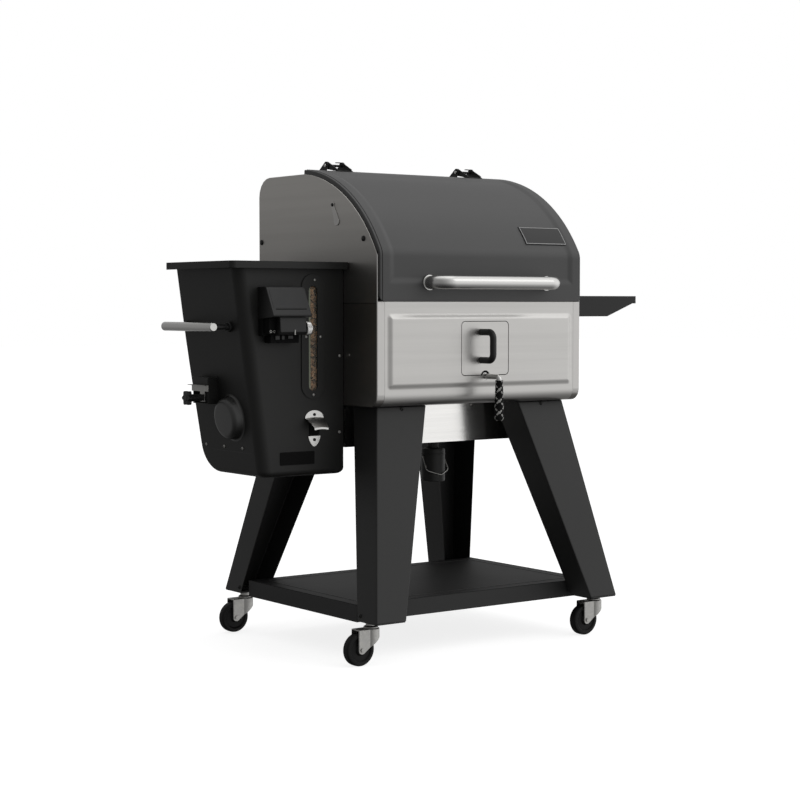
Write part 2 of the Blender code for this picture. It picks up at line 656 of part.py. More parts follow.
def auger_pieces():
    """The feed tube, the screw that turns in it and the motor that drives it."""
    start, end = -0.520, POT.x - POT_R - 0.0006
    tube = place("auger_tube", rod((start, AUGER_Y, AUGER_Z), (end, AUGER_Y, AUGER_Z), 0.025, ROUND), "stainless")
    cut(tube, rod((start - 0.01, AUGER_Y, AUGER_Z), (end + 0.01, AUGER_Y, AUGER_Z), 0.023, ROUND))
    cut(tube, box((-0.500, AUGER_Y - 0.015, AUGER_Z + 0.012), (-0.420, AUGER_Y + 0.015, AUGER_Z + 0.04)))
    screw = bmesh.new()
    blade = [(-0.020, -0.0015), (-0.005, -0.0045), (0.005, -0.0045), (0.020, -0.0015),
             (0.020, 0.0015), (0.005, 0.0045), (-0.005, 0.0045), (-0.020, 0.0015)]
    length, turns, steps = end - start - 0.004, 7, 56
    face = screw.faces.new([screw.verts.new(lift(p, "X", start + 0.002)) for p in blade])
    edge = face
    for _ in range(steps):
        pushed = bmesh.ops.extrude_face_region(screw, geom=[edge])
        fresh = [g for g in pushed["geom"] if isinstance(g, bmesh.types.BMVert)]
        edge = next(g for g in pushed["geom"] if isinstance(g, bmesh.types.BMFace))
        bmesh.ops.translate(screw, verts=fresh, vec=(length / steps, 0, 0))
        bmesh.ops.rotate(screw, verts=fresh, cent=(0, 0, 0), matrix=Matrix.Rotation(tau * turns / steps, 3, "X"))
    caps = [f for f in screw.faces if len(f.verts) == 8 and abs(f.normal.x) > 0.9]
    inner = [f for f in caps if start + 0.003 < f.calc_center_median().x < end - 0.003]
    bmesh.ops.delete(screw, geom=inner, context="FACES_ONLY")
    bmesh.ops.translate(screw, verts=screw.verts, vec=(0, AUGER_Y, AUGER_Z))
    place("auger_screw", outward(screw), "stainless", (0, AUGER_Y, AUGER_Z))
    motor = box((-0.566, AUGER_Y - 0.036, AUGER_Z - 0.030), (start - 0.0006, AUGER_Y + 0.036, AUGER_Z + 0.036))
    place("auger_motor", motor, "plastic")


def purge_gate():
    """The hopper's clean-out chute on the left wall, its pull-out steel gate and its star knob."""
    y0, y1, z0, z1, out = 0.0320, 0.1050, 0.6215, 0.6865, -0.6200
    wall = [(hopper_left(z) - 0.0003, z) for z in (z0, z1)]
    chute = place("purge_chute", prism([(out, z0), *wall, (out, z1)], "Y", y0, y1), "black_paint")
    hollow = box((out - 0.01, y0 + SHEET, z0 + SHEET), (wall[1][0] - 0.003, y1 - SHEET, z1 - SHEET))
    cut(chute, hollow)
    outer, inner = out - 0.0023, out - 0.0003
    gate = place("purge_plate", box((outer, 0.0280, 0.6520), (inner, 0.1080, 0.6680)), "zinc")
    tongue = box((inner - 0.001, y0 + 0.004, 0.6560), (out + 0.0200, y1 - 0.004, 0.6580))
    lip = box((outer - 0.0120, 0.0280, 0.6665), (outer + 0.0010, 0.1080, 0.6680))
    tab = box((outer, 0.0450, 0.6270), (inner, 0.0670, 0.6530))
    join(gate, tongue, lip, tab)
    centre = Vector((outer - 0.0003, 0.0560, 0.6370))
    star = []
    for i in range(36):
        turn = tau * i / 36
        reach = 0.0175 + 0.0015 * cos(6 * turn)
        star.append((centre.y + reach * cos(turn), centre.z + reach * sin(turn)))
    knob = place("purge_knob", prism(star, "X", -0.6700, -0.6580), "plastic", centre)
    join(knob, rod(centre, (-0.6590, centre.y, centre.z), 0.0080, 16))


def bottle_opener():
    """A plate with a proud hooked lip, fixed on the hopper's front."""
    x, face = -0.4060, HOP_FRONT - 0.0003
    top = arc((x, 0.574), 0.0335, 0, 180, 10)
    plate = [(x - 0.0335, 0.571), (x - 0.020, 0.545)] + arc((x, 0.537), 0.0195, 180, 360, 8) + [(x + 0.020, 0.545), (x + 0.0335, 0.571)]
    opener = place("bottle_opener", prism(plate + top, "Y", face - 0.0020, face), "stainless")
    lip = [(face - 0.0010, 0.578), (face - 0.030, 0.570), (face - 0.034, 0.562), (face - 0.032, 0.561), (face - 0.028, 0.568), (face - 0.001, 0.573)]
    join(opener, prism(lip, "X", x - 0.022, x + 0.022))


def controller():
    """The wedge-shaped control housing, its lower block, and the dial on its right."""
    face = HOP_FRONT - 0.0003
    left, right = -0.5730, -0.4640
    side = [(face, 0.774), (face, 0.908), (face - 0.0335, 0.908), (face - 0.0370, 0.905), (face - 0.0685, 0.8405),
            (face - 0.0660, 0.8350), (face - 0.0300, 0.8300), (face - 0.0280, 0.774)]
    body = place("control_housing", prism(side, "X", left, right), "plastic")
    lower = [(face - 0.010, 0.790), (face - 0.010, 0.837), (face - 0.0560, 0.837), (face - 0.0600, 0.800),
             (face - 0.0540, 0.792)]
    join(body, prism(lower, "X", left + 0.022, right - 0.002))
    centre = Vector((right + 0.0004, face - 0.0440, 0.8080))
    knob = turned([(0.0, 0.0), (0.0150, 0.0), (0.0165, 0.003), (0.0155, 0.015), (0.0, 0.015)], centre, (1, 0, 0))
    place("control_dial", knob, "polished", centre, True)


# --- cart ----------------------------------------------------------------------------------------


def leg(name, side_x, side_y):
    """A tapered channel, closed at both ends and open towards the cart's inside."""
    bm = bmesh.new()
    rings = []
    for corner, width, depth in ((LEG_FOOT, LEG_FOOT_W, LEG_FOOT_D), (LEG_TOP, LEG_TOP_W, LEG_TOP_D)):
        outline = ((0, depth), (0, 0), (width, 0), (width, depth))
        rings.append([
            bm.verts.new((side_x * (corner.x - x), side_y * (corner.y - y), corner.z)) for x, y in outline
        ])
    for i in range(3):
        bm.faces.new((rings[0][i], rings[0][i + 1], rings[1][i + 1], rings[1][i]))
    bm.faces.new(rings[0])
    bm.faces.new(rings[1])
    bmesh.ops.recalc_face_normals(bm, faces=bm.faces)
    middle = Vector((side_x * 0.27, side_y * 0.22, 0.36))
    web = max(bm.faces, key=lambda f: abs(f.normal.y))
    if web.normal.dot(web.calc_center_median() - middle) < 0:
        bmesh.ops.reverse_faces(bm, faces=bm.faces)
    folds = [e for e in bm.edges if e in web.edges]
    soften(bm, folds, 0.004, 2)
    made = place(name, bm, "black_paint")
    wall = made.modifiers.new("wall", "SOLIDIFY")
    wall.thickness = SHEET
    wall.offset = -1.0
    wall.use_even_offset = True


def bottom_shelf():
    """The tray between the legs, with a turned-down edge and a lug into each foot."""
    shelf = place("bottom_shelf", box((-SHELF_X, -SHELF_Y, SHELF_Z0), (SHELF_X, SHELF_Y, SHELF_Z1)), "black_paint")
    inner = box(
        (-SHELF_X + SHEET, -SHELF_Y + SHEET, SHELF_Z0 - 0.01), (SHELF_X - SHEET, SHELF_Y - SHEET, SHELF_Z1 - SHEET)
    )
    cut(shelf, inner)
    lug_z = LEG_FOOT.z + SHEET + 0.0004
    for sx in (-1, 1):
        for sy in (-1, 1):
            xs = sorted((sx * 0.310, sx * 0.3700))
            ys = sorted((sy * (SHELF_Y - SHEET / 2), sy * 0.3250))
            join(shelf, box((xs[0], ys[0], lug_z), (xs[1], ys[1], lug_z + SHEET)))


def side_shelf():
    """The fixed right shelf: a tray with deep tapering front and rear edges."""
    x0, x1, depth, top = HALF_W + 0.0005, 0.6180, 0.1700, 0.8880
    outline = [(x0, top), (x0, top - 0.055), (0.513, top - 0.055), (x1 - 0.012, top - 0.020), (x1, top - 0.020), (x1, top)]
    shelf = place("side_shelf", prism(outline, "Y", -depth, depth), "black_paint")
    inner = [(x0 + SHEET, top - SHEET), (x0 + SHEET, top - 0.08), (x1 - SHEET, top - 0.08), (x1 - SHEET, top - SHEET)]
    cut(shelf, prism(inner, "Y", -depth + SHEET, depth - SHEET))


def caster(where, side_x, side_y):
    """A swivelling caster: a zinc fork with its stem, a wheel and its axle bolt."""
    swivel = Vector((side_x * CASTER_X, side_y * CASTER_Y, 0))
    hub = swivel + TRAIL + Vector((0, 0, WHEEL_R))
    roll = TRAIL.cross(Vector((0, 0, 1))).normalized()
    turn = Matrix((TRAIL.normalized(), roll, Vector((0, 0, 1)))).transposed().to_4x4()
    cheek, axle = WHEEL_W / 2 + 0.0025, TRAIL.length
    end = axle + 0.0100
    skin = prism(fork_plan(cheek + SHEET, 0.0210, end), "Z", 0.026, FORK_TOP)
    fork_body = place(f"caster_fork_{where}", oriented(skin, turn, swivel), "zinc", swivel)
    hollow = prism(fork_plan(cheek, 0.0190, end + 0.010), "Z", 0.0, FORK_TOP - SHEET)
    below = [(end + 0.02, 0.0), (end + 0.02, WHEEL_R), (end, WHEEL_R)]
    below += arc((axle, WHEEL_R), 0.0100, 0, -127, 8) + [(-0.0230, 0.0725), (-0.05, 0.0725), (-0.05, 0.0)]
    cut(fork_body, *(oriented(bm, turn, swivel) for bm in (hollow, prism(below, "Y", -0.04, 0.04))))
    join(fork_body, rod(swivel + Vector((0, 0, FORK_TOP - 0.0010)), swivel + Vector((0, 0, 0.1050)), 0.0130, 16))
    reach = cheek + 0.006
    bolt = rod(hub - roll * reach, hub + roll * reach, 0.0040, 10)
    bore = rod(hub - roll * 0.03, hub + roll * 0.03, 0.0043, 12)
    cut(fork_body, bore)
    place(f"caster_axle_{where}", bolt, "zinc", swivel)
    h = WHEEL_W / 2
    tyre = [(0.0048, -h), (0.0120, -h), (0.0140, -h + 0.003), (0.0290, -h + 0.003), (0.0320, -h),
            (WHEEL_R - 0.003, -h), (WHEEL_R, -h + 0.004), (WHEEL_R, h - 0.004), (WHEEL_R - 0.003, h),
            (0.0320, h), (0.0290, h - 0.003), (0.0140, h - 0.003), (0.0120, h), (0.0048, h)]
    place(f"caster_wheel_{where}", turned(tyre, hub, roll, 20), "rubber", hub, True)


def fork_plan(half, nose, end):
    """The fork from above: two straight cheeks that run on into a round nose about the swivel."""
    turn = degrees(asin(half / nose))
    return [(end, -half)] + arc((0, 0), nose, -turn, turn - 360, 16) + [(end, half)]


def oriented(bm, turn, centre):
    """A shape written about a caster's own axes, turned and set at its swivel."""
    bmesh.ops.transform(bm, verts=bm.verts, matrix=Matrix.Translation(centre) @ turn)
    return outward(bm)


def probe_cover():
    """The steel flap over the probe port on the left side."""
    x = -HALF_W - 0.0003
    outline = arc((-0.0786, 1.112), 0.0075, 20, 200, 6) + arc((-0.0960, 1.072), 0.0120, 180, 380, 6)
    place("probe_cover", prism(outline, "X", x - 0.0015, x), "stainless", (x, -0.0786, 1.112))


# --- the whole grill -----------------------------------------------------------------------------


def build():
    for obj in list(bpy.data.objects):
        bpy.data.objects.remove(obj)
    side_panel("side_panel_left", -1)
    side_panel("side_panel_right", 1)
    front_panel()
    back_panel()
    floor_panel()
    smoke_box()
    inside_pieces()
    fire_pot()
    base_skirt()
    ash_cup()
    lid_pieces()
    hinge_base("hinge_base_left", -HINGE_X)
    hinge_base("hinge_base_right", HINGE_X)
    smoke_drawer()
    valve_lever()
    hopper_shell()
    hopper_lid()
    hopper_handle()
    hopper_window()
    auger_pieces()
    purge_gate()
    bottle_opener()
    controller()
    side_shelf()
    bottom_shelf()
    probe_cover()
    for where, sx, sy in (
        ("front_left", -1, -1), ("front_right", 1, -1), ("rear_left", -1, 1), ("rear_right", 1, 1)
    ):
        leg(f"leg_{where}", sx, sy)
        caster(where, sx, sy)


build()
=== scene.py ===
"""The finished look of the pellet smoker grill.

Shapes are written about the middle of the cook box, in metres, with +X to the cook's right and -Y
towards the cook, and moved by MIDDLE when a piece is finished.
"""

import json
import random
from math import asin, atan2, cos, degrees, hypot, pi, radians, sin, sqrt, tau

import bmesh
import bpy
from mathutils import Matrix, Vector


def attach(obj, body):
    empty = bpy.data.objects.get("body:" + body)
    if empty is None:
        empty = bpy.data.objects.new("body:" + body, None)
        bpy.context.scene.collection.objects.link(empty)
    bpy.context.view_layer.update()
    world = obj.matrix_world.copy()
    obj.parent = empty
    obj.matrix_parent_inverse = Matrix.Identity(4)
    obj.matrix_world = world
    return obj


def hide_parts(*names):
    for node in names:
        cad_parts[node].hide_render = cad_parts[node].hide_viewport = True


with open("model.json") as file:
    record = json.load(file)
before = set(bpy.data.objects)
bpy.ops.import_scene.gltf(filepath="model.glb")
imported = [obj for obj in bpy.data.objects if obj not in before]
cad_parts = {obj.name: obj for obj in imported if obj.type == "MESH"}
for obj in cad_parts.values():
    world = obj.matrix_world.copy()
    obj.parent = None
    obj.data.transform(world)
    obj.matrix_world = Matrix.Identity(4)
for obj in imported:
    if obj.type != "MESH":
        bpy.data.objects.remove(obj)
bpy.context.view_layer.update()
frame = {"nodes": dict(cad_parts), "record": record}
NODES = frame["nodes"]
BODY_OF = {node: body for body, members in frame["record"]["behaviour"]["bodies"].items() for node in members}
SLOT_OF = {part["node"]: part["material_slot"] for part in frame["record"]["subparts"]}
MIDDLE = Vector((0.0305, 0.0, 0.0))

# Cook box
SHEET = 0.002
HALF_W, HALF_D = 0.325, 0.267
FLOOR_Z, SPLIT_Z, ROOF_Z = 0.616, 0.8735, 1.195
ARC_Y, ARC_Z = 0.0904, 0.7917
LID_R, LID_FRONT, LID_REAR, LID_HALF_W = 0.4174, -0.275, 0.0545, 0.3215
FIELD_PROUD, FIELD_SLOPE = 0.0050, 0.0160
DOOR_X, DOOR_W, DOOR_Z0, DOOR_Z1 = 0.0050, 0.150, 0.6885, 0.8225
LEVER_X, LEVER_Z, GRIP_Y = 0.0055, 0.6853, -0.327
GRIP_FACE = radians(53.8)
HINGE_X, HINGE_Y, HINGE_Z = 0.2125, 0.080, 1.2225

# Hopper
HOP_FRONT, HOP_REAR, HOP_RIGHT = -0.1248, 0.161, -0.3265
HOP_TOP_X, HOP_LOW_X, HOP_Z0, HOP_Z1 = -0.6335, -0.561, 0.447, 0.962
WINDOW_X = -0.4168
CONTROL_RIGHT = -0.4640
FEED_Y = -0.015

# Cart
CORNERS = {"front_left": (-1, -1), "front_right": (1, -1), "rear_left": (-1, 1), "rear_right": (1, 1)}
CASTER_X, CASTER_Y, WHEEL_R, WHEEL_W, FORK_TOP = 0.3598, 0.2887, 0.040, 0.024, 0.0890
TRAIL = Vector((-0.0360, 0.0, 0.0))
UP = Vector((0, 0, 1))


# --- materials -----------------------------------------------------------------------------------


class Signal:
    """A socket in a node tree that sums and products can be written with."""

    def __init__(self, tree, socket):
        self.tree = tree
        self.socket = socket

    def math(self, operation, *others):
        step = self.tree.nodes.new("ShaderNodeMath")
        step.operation = operation
        for target, value in zip(step.inputs, (self, *others)):
            wire(self.tree, value, target)
        return Signal(self.tree, step.outputs[0])

    def __add__(self, other):
        return self.math("ADD", other)

    def __sub__(self, other):
        return self.math("SUBTRACT", other)

    def __mul__(self, other):
        return self.math("MULTIPLY", other)

    def __rsub__(self, other):
        return self.math("MULTIPLY", -1.0) + other

    __radd__ = __add__
    __rmul__ = __mul__

    def band(self, low, high):
        """0 below low, 1 above high, and smooth between."""
        step = self.tree.nodes.new("ShaderNodeMapRange")
        step.interpolation_type = "SMOOTHSTEP"
        for name, value in (("Value", self), ("From Min", low), ("From Max", high)):
            wire(self.tree, value, step.inputs[name])
        return Signal(self.tree, step.outputs[0])


def wire(tree, value, target):
    """Joins a signal to a socket, or sets the socket's own number or colour."""
    if isinstance(value, Signal):
        tree.links.new(value.socket, target)
    elif value is not None:
        target.default_value = value


class Finish:
    """A Principled material and the patterns that feed it."""

    def __init__(self, name, colour, roughness, metallic=0.0, **fixed):
        self.name = name
        self.material = bpy.data.materials.new(f"{name}_finish")
        self.material.use_nodes = True
        self.tree = self.material.node_tree
        self.shader = self.tree.nodes["Principled BSDF"]
        self.colour = (*colour, 1.0)
        self.set("Base Color", self.colour)
        self.set("Roughness", roughness)
        self.set("Metallic", metallic)
        for socket, value in fixed.items():
            self.set(socket.replace("_", " "), value)
        self.height = None
        self.here = self.node("ShaderNodeTexCoord", output="Object")

    def set(self, socket, value):
        wire(self.tree, value, self.shader.inputs[socket])

    def node(self, kind, settings=None, inputs=None, output=0):
        made = self.tree.nodes.new(kind)
        for name, value in (settings or {}).items():
            setattr(made, name, value)
        for name, value in (inputs or {}).items():
            wire(self.tree, value, made.inputs[name])
        return Signal(self.tree, made.outputs[output])

    def stretched(self, scale, turn=(0, 0, 0), at=(0, 0, 0)):
        """Object coordinates, stretched and turned."""
        return self.node(
            "ShaderNodeMapping",
            inputs={"Vector": self.here, "Location": at, "Rotation": turn, "Scale": scale},
        )

    def noise(self, scale=(1, 1, 1), size=1.0, detail=2.0, rough=0.5):
        return self.node(
            "ShaderNodeTexNoise",
            inputs={"Vector": self.stretched(scale), "Scale": size, "Detail": detail, "Roughness": rough},
        )

    def axis(self, name):
        return self.node("ShaderNodeSeparateXYZ", inputs={"Vector": self.here}, output=name)

    def blend(self, factor, first, second):
        made = self.tree.nodes.new("ShaderNodeMix")
        made.data_type = "RGBA"
        for name, value in (("Factor_Float", factor), ("A_Color", first), ("B_Color", second)):
            target = next(s for s in made.inputs if s.identifier == name)
            plain = name != "Factor_Float" and not isinstance(value, Signal)
            wire(self.tree, (*value[:3], 1.0) if plain else value, target)
        return Signal(self.tree, next(s for s in made.outputs if s.identifier == "Result_Color"))

    def tint(self, factor, other):
        """Varies the base colour towards another by a factor."""
        before = self.shader.inputs["Base Color"]
        now = Signal(self.tree, before.links[0].from_socket) if before.links else self.colour
        self.set("Base Color", self.blend(factor, now, other))

    def bump(self, height, distance, strength=1.0):
        inputs = {"Height": height, "Distance": distance, "Strength": strength}
        if self.height:
            inputs["Normal"] = self.height
        self.height = self.node("ShaderNodeBump", inputs=inputs)
        self.set("Normal", self.height)


def brushed(name, colour, roughness, along, depth=0.00004):
    """Steel with fine parallel brush lines along X, Y or Z and faint broad streaks."""
    finish = Finish(name, colour, roughness, 1.0)
    fine = [1500.0] * 3
    broad = [60.0] * 3
    fine["XYZ".index(along)] = 12.0
    broad["XYZ".index(along)] = 1.5
    lines = finish.noise(fine, 1.0, 3.0, 0.6)
    streaks = finish.noise(broad, 1.0, 3.0, 0.6)
    clouds = finish.noise((3, 3, 3), 1.0, 2.0)
    finish.set("Roughness", roughness - 0.10 + lines * 0.10 + streaks * 0.06 + clouds * 0.04)
    finish.tint(streaks.band(0.35, 0.75) * 0.35, [c * 0.86 for c in colour])
    finish.tint(lines.band(0.45, 0.8) * 0.30, [min(1, c * 1.12) for c in colour])
    finish.bump(lines, depth, 0.5)
    return finish


def powder(name, colour, roughness, grain=1100.0, depth=0.00005, level=0.5):
    """Powder coat: a fine pebbled skin with slow changes of gloss."""
    finish = Finish(name, colour, roughness, 0.0, Specular_IOR_Level=level)
    pebble = finish.noise((1, 1, 1), grain, 2.0)
    slow = finish.noise((1, 1, 1), 5.0, 2.0)
    orange = finish.noise((1, 1, 1), 160.0, 1.0)
    finish.set("Roughness", roughness - 0.06 + pebble * 0.07 + slow * 0.06)
    finish.tint(slow.band(0.35, 0.7) * 0.4, [c * 1.18 for c in colour])
    finish.tint(pebble.band(0.55, 0.8) * 0.3, [c * 1.5 for c in colour])
    finish.bump(orange, 0.00006, 0.35)
    finish.bump(pebble, depth, 0.6)
    return finish


def side_steel():
    """The cook box's sides: brown-grey brushed steel with a dark seam line; painted shade and a painted
    reflection of the dark hopper darken the flat face towards the bottom, darkest below the seam.
    """
    finish = brushed("side_steel", (0.540, 0.524, 0.500), 0.40, "Y")
    height = finish.axis("Z")
    below = 1 - height.band(0.8670, 0.8690)
    painted_low_shade = 1 - height.band(0.90, 1.16)
    flank = finish.axis("Y").band(-0.2662, -0.2625)
    # Painted shade and a painted reflection of the dark hopper on the flat face: darker towards the bottom,
    # darkest below the seam; the rolled front edge is left out.
    finish.tint(painted_low_shade * flank * 0.62, (0.235, 0.229, 0.220))
    finish.tint(below * flank * 0.90, (0.290, 0.276, 0.260))
    seam = height.band(0.8660, 0.8672) * (1 - height.band(0.8688, 0.8700))
    finish.tint(seam * 0.5, (0.015, 0.015, 0.015))
    finish.tint(1 - flank, (0.545, 0.535, 0.520))
    return finish


def lid_paint():
    """Grey lid paint, with painted shade in the crease beside each rolled edge."""
    finish = powder("lid_paint", (0.0515, 0.0515, 0.0515), 0.46)
    x = finish.axis("X") - MIDDLE.x
    wide = x.math("ABSOLUTE")
    # Painted shade: a near-black line along the step by each rolled edge.
    groove_shade = wide.band(0.3128, 0.3140) * (1 - wide.band(0.3150, 0.3160))
    finish.tint(groove_shade * 0.85, (0.004, 0.004, 0.004))
    return finish


def low_shelf_paint():
    """Black paint with painted shade: the shelf's upper face is made much darker than its edges."""
    finish = powder("low_shelf_paint", (0.0340, 0.0340, 0.0340), 0.56, level=0.20)
    # Painted shade: the upper face, which lies under the cook box, is made near black.
    finish.tint(finish.axis("Z").band(0.1380, 0.1392), (0.0040, 0.0040, 0.0040))
    return finish


def polished_steel():
    finish = Finish("polished", (0.63, 0.625, 0.61), 0.24, 1.0)
    swirl = finish.noise((1, 1, 1), 420.0, 3.0)
    haze = finish.noise((1, 1, 1), 22.0, 2.0)
    finish.set("Roughness", 0.18 + swirl * 0.06 + haze * 0.08)
    finish.tint(haze.band(0.4, 0.7) * 0.2, (0.66, 0.655, 0.645))
    finish.bump(swirl, 0.00001, 0.3)
    return finish


def zinc():
    finish = Finish("zinc", (0.42, 0.415, 0.40), 0.38, 1.0)
    crystal = finish.node(
        "ShaderNodeTexVoronoi", {"feature": "F1"}, {"Vector": finish.here, "Scale": 260.0}, "Color"
    )
    patch = finish.node("ShaderNodeSeparateColor", inputs={"Color": crystal}, output="Red")
    cloud = finish.noise((1, 1, 1), 60.0, 3.0)
    finish.set("Roughness", 0.28 + patch * 0.10 + cloud * 0.12)
    finish.tint(patch * 0.35, (0.36, 0.355, 0.345))
    finish.tint(cloud.band(0.45, 0.75) * 0.35, (0.55, 0.54, 0.50))
    finish.bump(cloud, 0.00004, 0.3)
    return finish


def moulded(name, colour, roughness, grain=700.0, level=0.4):
    """Moulded plastic with a spark-eroded grain."""
    finish = Finish(name, colour, roughness, 0.0, Specular_IOR_Level=level)
    stipple = finish.noise((1, 1, 1), grain, 1.0)
    slow = finish.noise((1, 1, 1), 12.0, 2.0)
    finish.set("Roughness", roughness - 0.05 + stipple * 0.08 + slow * 0.04)
    finish.tint(slow.band(0.4, 0.7) * 0.3, [c * 1.3 for c in colour])
    finish.bump(stipple, 0.00005, 0.5)
    return finish


def rubber():
    finish = Finish("wheel_rubber", (0.0065, 0.0065, 0.0065), 0.58, 0.0, Specular_IOR_Level=0.22)
    dust = finish.noise((1, 1, 1), 90.0, 4.0, 0.65)
    low = 1 - finish.axis("Z").band(0.0, 0.012)
    finish.set("Roughness", 0.48 + dust * 0.16)
    finish.tint(dust.band(0.55, 0.8) * 0.25, (0.022, 0.021, 0.020))
    finish.tint(low * 0.3, (0.035, 0.034, 0.032))
    finish.bump(dust, 0.00006, 0.5)
    return finish


def enamel(name, colour, roughness):
    """Baked enamel with a few pinholes and soft smoke marks."""
    finish = Finish(name, colour, roughness, 0.0, Coat_Weight=0.25)
    smoke = finish.noise((1, 1, 1), 9.0, 4.0, 0.6)
    pin = finish.noise((1, 1, 1), 900.0, 1.0)
    finish.set("Roughness", roughness + smoke * 0.22)
    finish.tint(smoke.band(0.45, 0.8) * 0.6, (0.055, 0.042, 0.030))
    finish.bump(pin, 0.00004, 0.4)
    return finish


def cast_iron():
    finish = Finish("cast_iron", (0.040, 0.038, 0.036), 0.75, 0.3)
    sand = finish.noise((1, 1, 1), 500.0, 4.0, 0.7)
    ash = finish.noise((1, 1, 1), 40.0, 3.0)
    finish.tint(ash.band(0.5, 0.75) * 0.5, (0.13, 0.12, 0.11))
    finish.set("Roughness", 0.62 + sand * 0.25)
    finish.bump(sand, 0.00025, 0.8)
    return finish


def pellet_wood():
    finish = Finish("wood", (0.520, 0.310, 0.170), 0.80, 0.0, Specular_IOR_Level=0.25)
    each = finish.node("ShaderNodeAttribute", {"attribute_name": "shade"}, output="Fac")
    fibre = finish.noise((400, 400, 400), 1.0, 3.0)
    finish.tint(each, (0.036, 0.018, 0.009))
    finish.tint(fibre.band(0.45, 0.75) * 0.20, (0.62, 0.42, 0.25))
    finish.bump(fibre, 0.0002, 0.6)
    return finish


def cord_braid():
    """Woven cord: the tracer strands take their colour from the piece's own attribute."""
    finish = Finish("cord", (0.0055, 0.0055, 0.0055), 0.85, 0.0, Specular_IOR_Level=0.2)
    tracer = finish.node("ShaderNodeAttribute", {"attribute_name": "tracer"}, output="Fac")
    thread = finish.noise((1, 1, 1), 1300.0, 2.0)
    finish.tint(tracer, (0.420, 0.415, 0.400))
    finish.tint(thread.band(0.5, 0.8) * 0.2, (0.030, 0.030, 0.030))
    finish.bump(thread, 0.00015, 0.8)
    return finish


def clear_strip():
    finish = Finish("clear", (0.80, 0.84, 0.78), 0.10, 0.0, Alpha=0.06, Specular_IOR_Level=0.15)
    finish.material.blend_method = "BLEND"
    return finish


def screen():
    finish = Finish("screen", (0.013, 0.013, 0.0135), 0.46, 0.0, Specular_IOR_Level=0.4)
    smear = finish.noise((1, 1, 1), 30.0, 3.0)
    finish.set("Roughness", 0.42 + smear * 0.10)
    return finish


FINISHES = {
    finish.name: finish.material
    for finish in (
        brushed("stainless", (0.545, 0.536, 0.520), 0.34, "X"),
        # Painted light: a much brighter copy of the stainless for the skirt, which sits in shade under the
        # cook box.
        brushed("skirt_steel", (0.900, 0.890, 0.870), 0.17, "X"),
        side_steel(),
        lid_paint(),
        powder("black_paint", (0.0115, 0.0115, 0.0108), 0.50, level=0.35),
        powder("bump_paint", (0.0120, 0.0120, 0.0112), 0.36, level=0.9),
        powder("leg_paint", (0.0150, 0.0150, 0.0145), 0.50, level=0.45),
        powder("shelf_paint", (0.0150, 0.0150, 0.0150), 0.52, level=0.35),
        low_shelf_paint(),
        polished_steel(),
        zinc(),
        moulded("plastic", (0.010, 0.010, 0.010), 0.42),
        moulded("badge_black", (0.008, 0.008, 0.008), 0.32, 1500.0),
        # Near-black plastic: painted shade for the control box's bay and the opener's neck, and the plain
        # dark of the hopper's name plate and the display's line.
        moulded("recess_black", (0.0035, 0.0035, 0.0035), 0.70, 900.0, 0.12),
        moulded("pale_line", (0.42, 0.42, 0.42), 0.45, 1500.0),
        rubber(),
        enamel("enamel", (0.020, 0.019, 0.018), 0.28),
        cast_iron(),
        pellet_wood(),
        cord_braid(),
        clear_strip(),
        moulded("strip_edge", (0.215, 0.230, 0.165), 0.30, 300.0),
        screen(),
    )
}


# --- making pieces -------------------------------------------------------------------------------


def show(name, bm, body, finish, slot, replaces=(), sharp=32.0):
    """Finishes a shape into a piece that rides on a body."""
    bmesh.ops.translate(bm, verts=bm.verts, vec=MIDDLE)
    mesh = bpy.data.meshes.new(name)
    bm.to_mesh(mesh)
    bm.free()
    mesh.materials.append(FINISHES[finish])
    mesh.shade_smooth()
    mesh.set_sharp_from_angle(angle=radians(sharp))
    piece = bpy.data.objects.new(name, mesh)
    bpy.context.scene.collection.objects.link(piece)
    weigh = piece.modifiers.new("weigh", "WEIGHTED_NORMAL")
    weigh.keep_sharp = True
    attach(piece, body)
    if replaces:
        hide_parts(*replaces)
    return piece


def soften(bm, width, steps=2, angle=30.0, edges=None):
    """Rounds the sharp edges of a shape."""
    if edges is None:
        edges = [e for e in bm.edges if len(e.link_faces) == 2 and e.calc_face_angle(0) > radians(angle)]
    bmesh.ops.bevel(
        bm, geom=edges, offset=width, offset_type="OFFSET", segments=steps, profile=0.5,
        affect="EDGES", material=-1, clamp_overlap=True,
    )
    return bm


def outward(bm):
    bmesh.ops.recalc_face_normals(bm, faces=bm.faces)
    return bm


def box(lo, hi):
    lo, hi = Vector(lo), Vector(hi)
    bm = bmesh.new()
    bmesh.ops.create_cube(bm, size=1.0)
    bmesh.ops.scale(bm, verts=bm.verts, vec=hi - lo)
    bmesh.ops.translate(bm, verts=bm.verts, vec=(lo + hi) / 2)
    return bm


def lift(point, axis, along):
    a, b = point
    return {"X": (along, a, b), "Y": (a, along, b), "Z": (a, b, along)}[axis]


def prism(outline, axis, start, end):
    """An outline pushed along an axis."""
    bm = bmesh.new()
    face = bm.faces.new([bm.verts.new(lift(p, axis, start)) for p in outline])
    pushed = bmesh.ops.extrude_face_region(bm, geom=[face])
    moved = [v for v in pushed["geom"] if isinstance(v, bmesh.types.BMVert)]
    bmesh.ops.translate(bm, verts=moved, vec=Vector(lift((0, 0), axis, end - start)))
    return outward(bm)


def arc(centre, radius, start, end, steps):
    turn = radians(end - start) / steps
    first = radians(start)
    return [
        (centre[0] + radius * cos(first + turn * i), centre[1] + radius * sin(first + turn * i))
        for i in range(steps + 1)
    ]


def rounded(x0, x1, y0, y1, radius, steps=8):
    outline = []
    for x, y, start in ((x1, y0, -90), (x1, y1, 0), (x0, y1, 90), (x0, y0, 180)):
        centre = (x + (radius if x == x0 else -radius), y + (radius if y == y0 else -radius))
        outline += arc(centre, radius, start, start + 90, steps)
    return outline


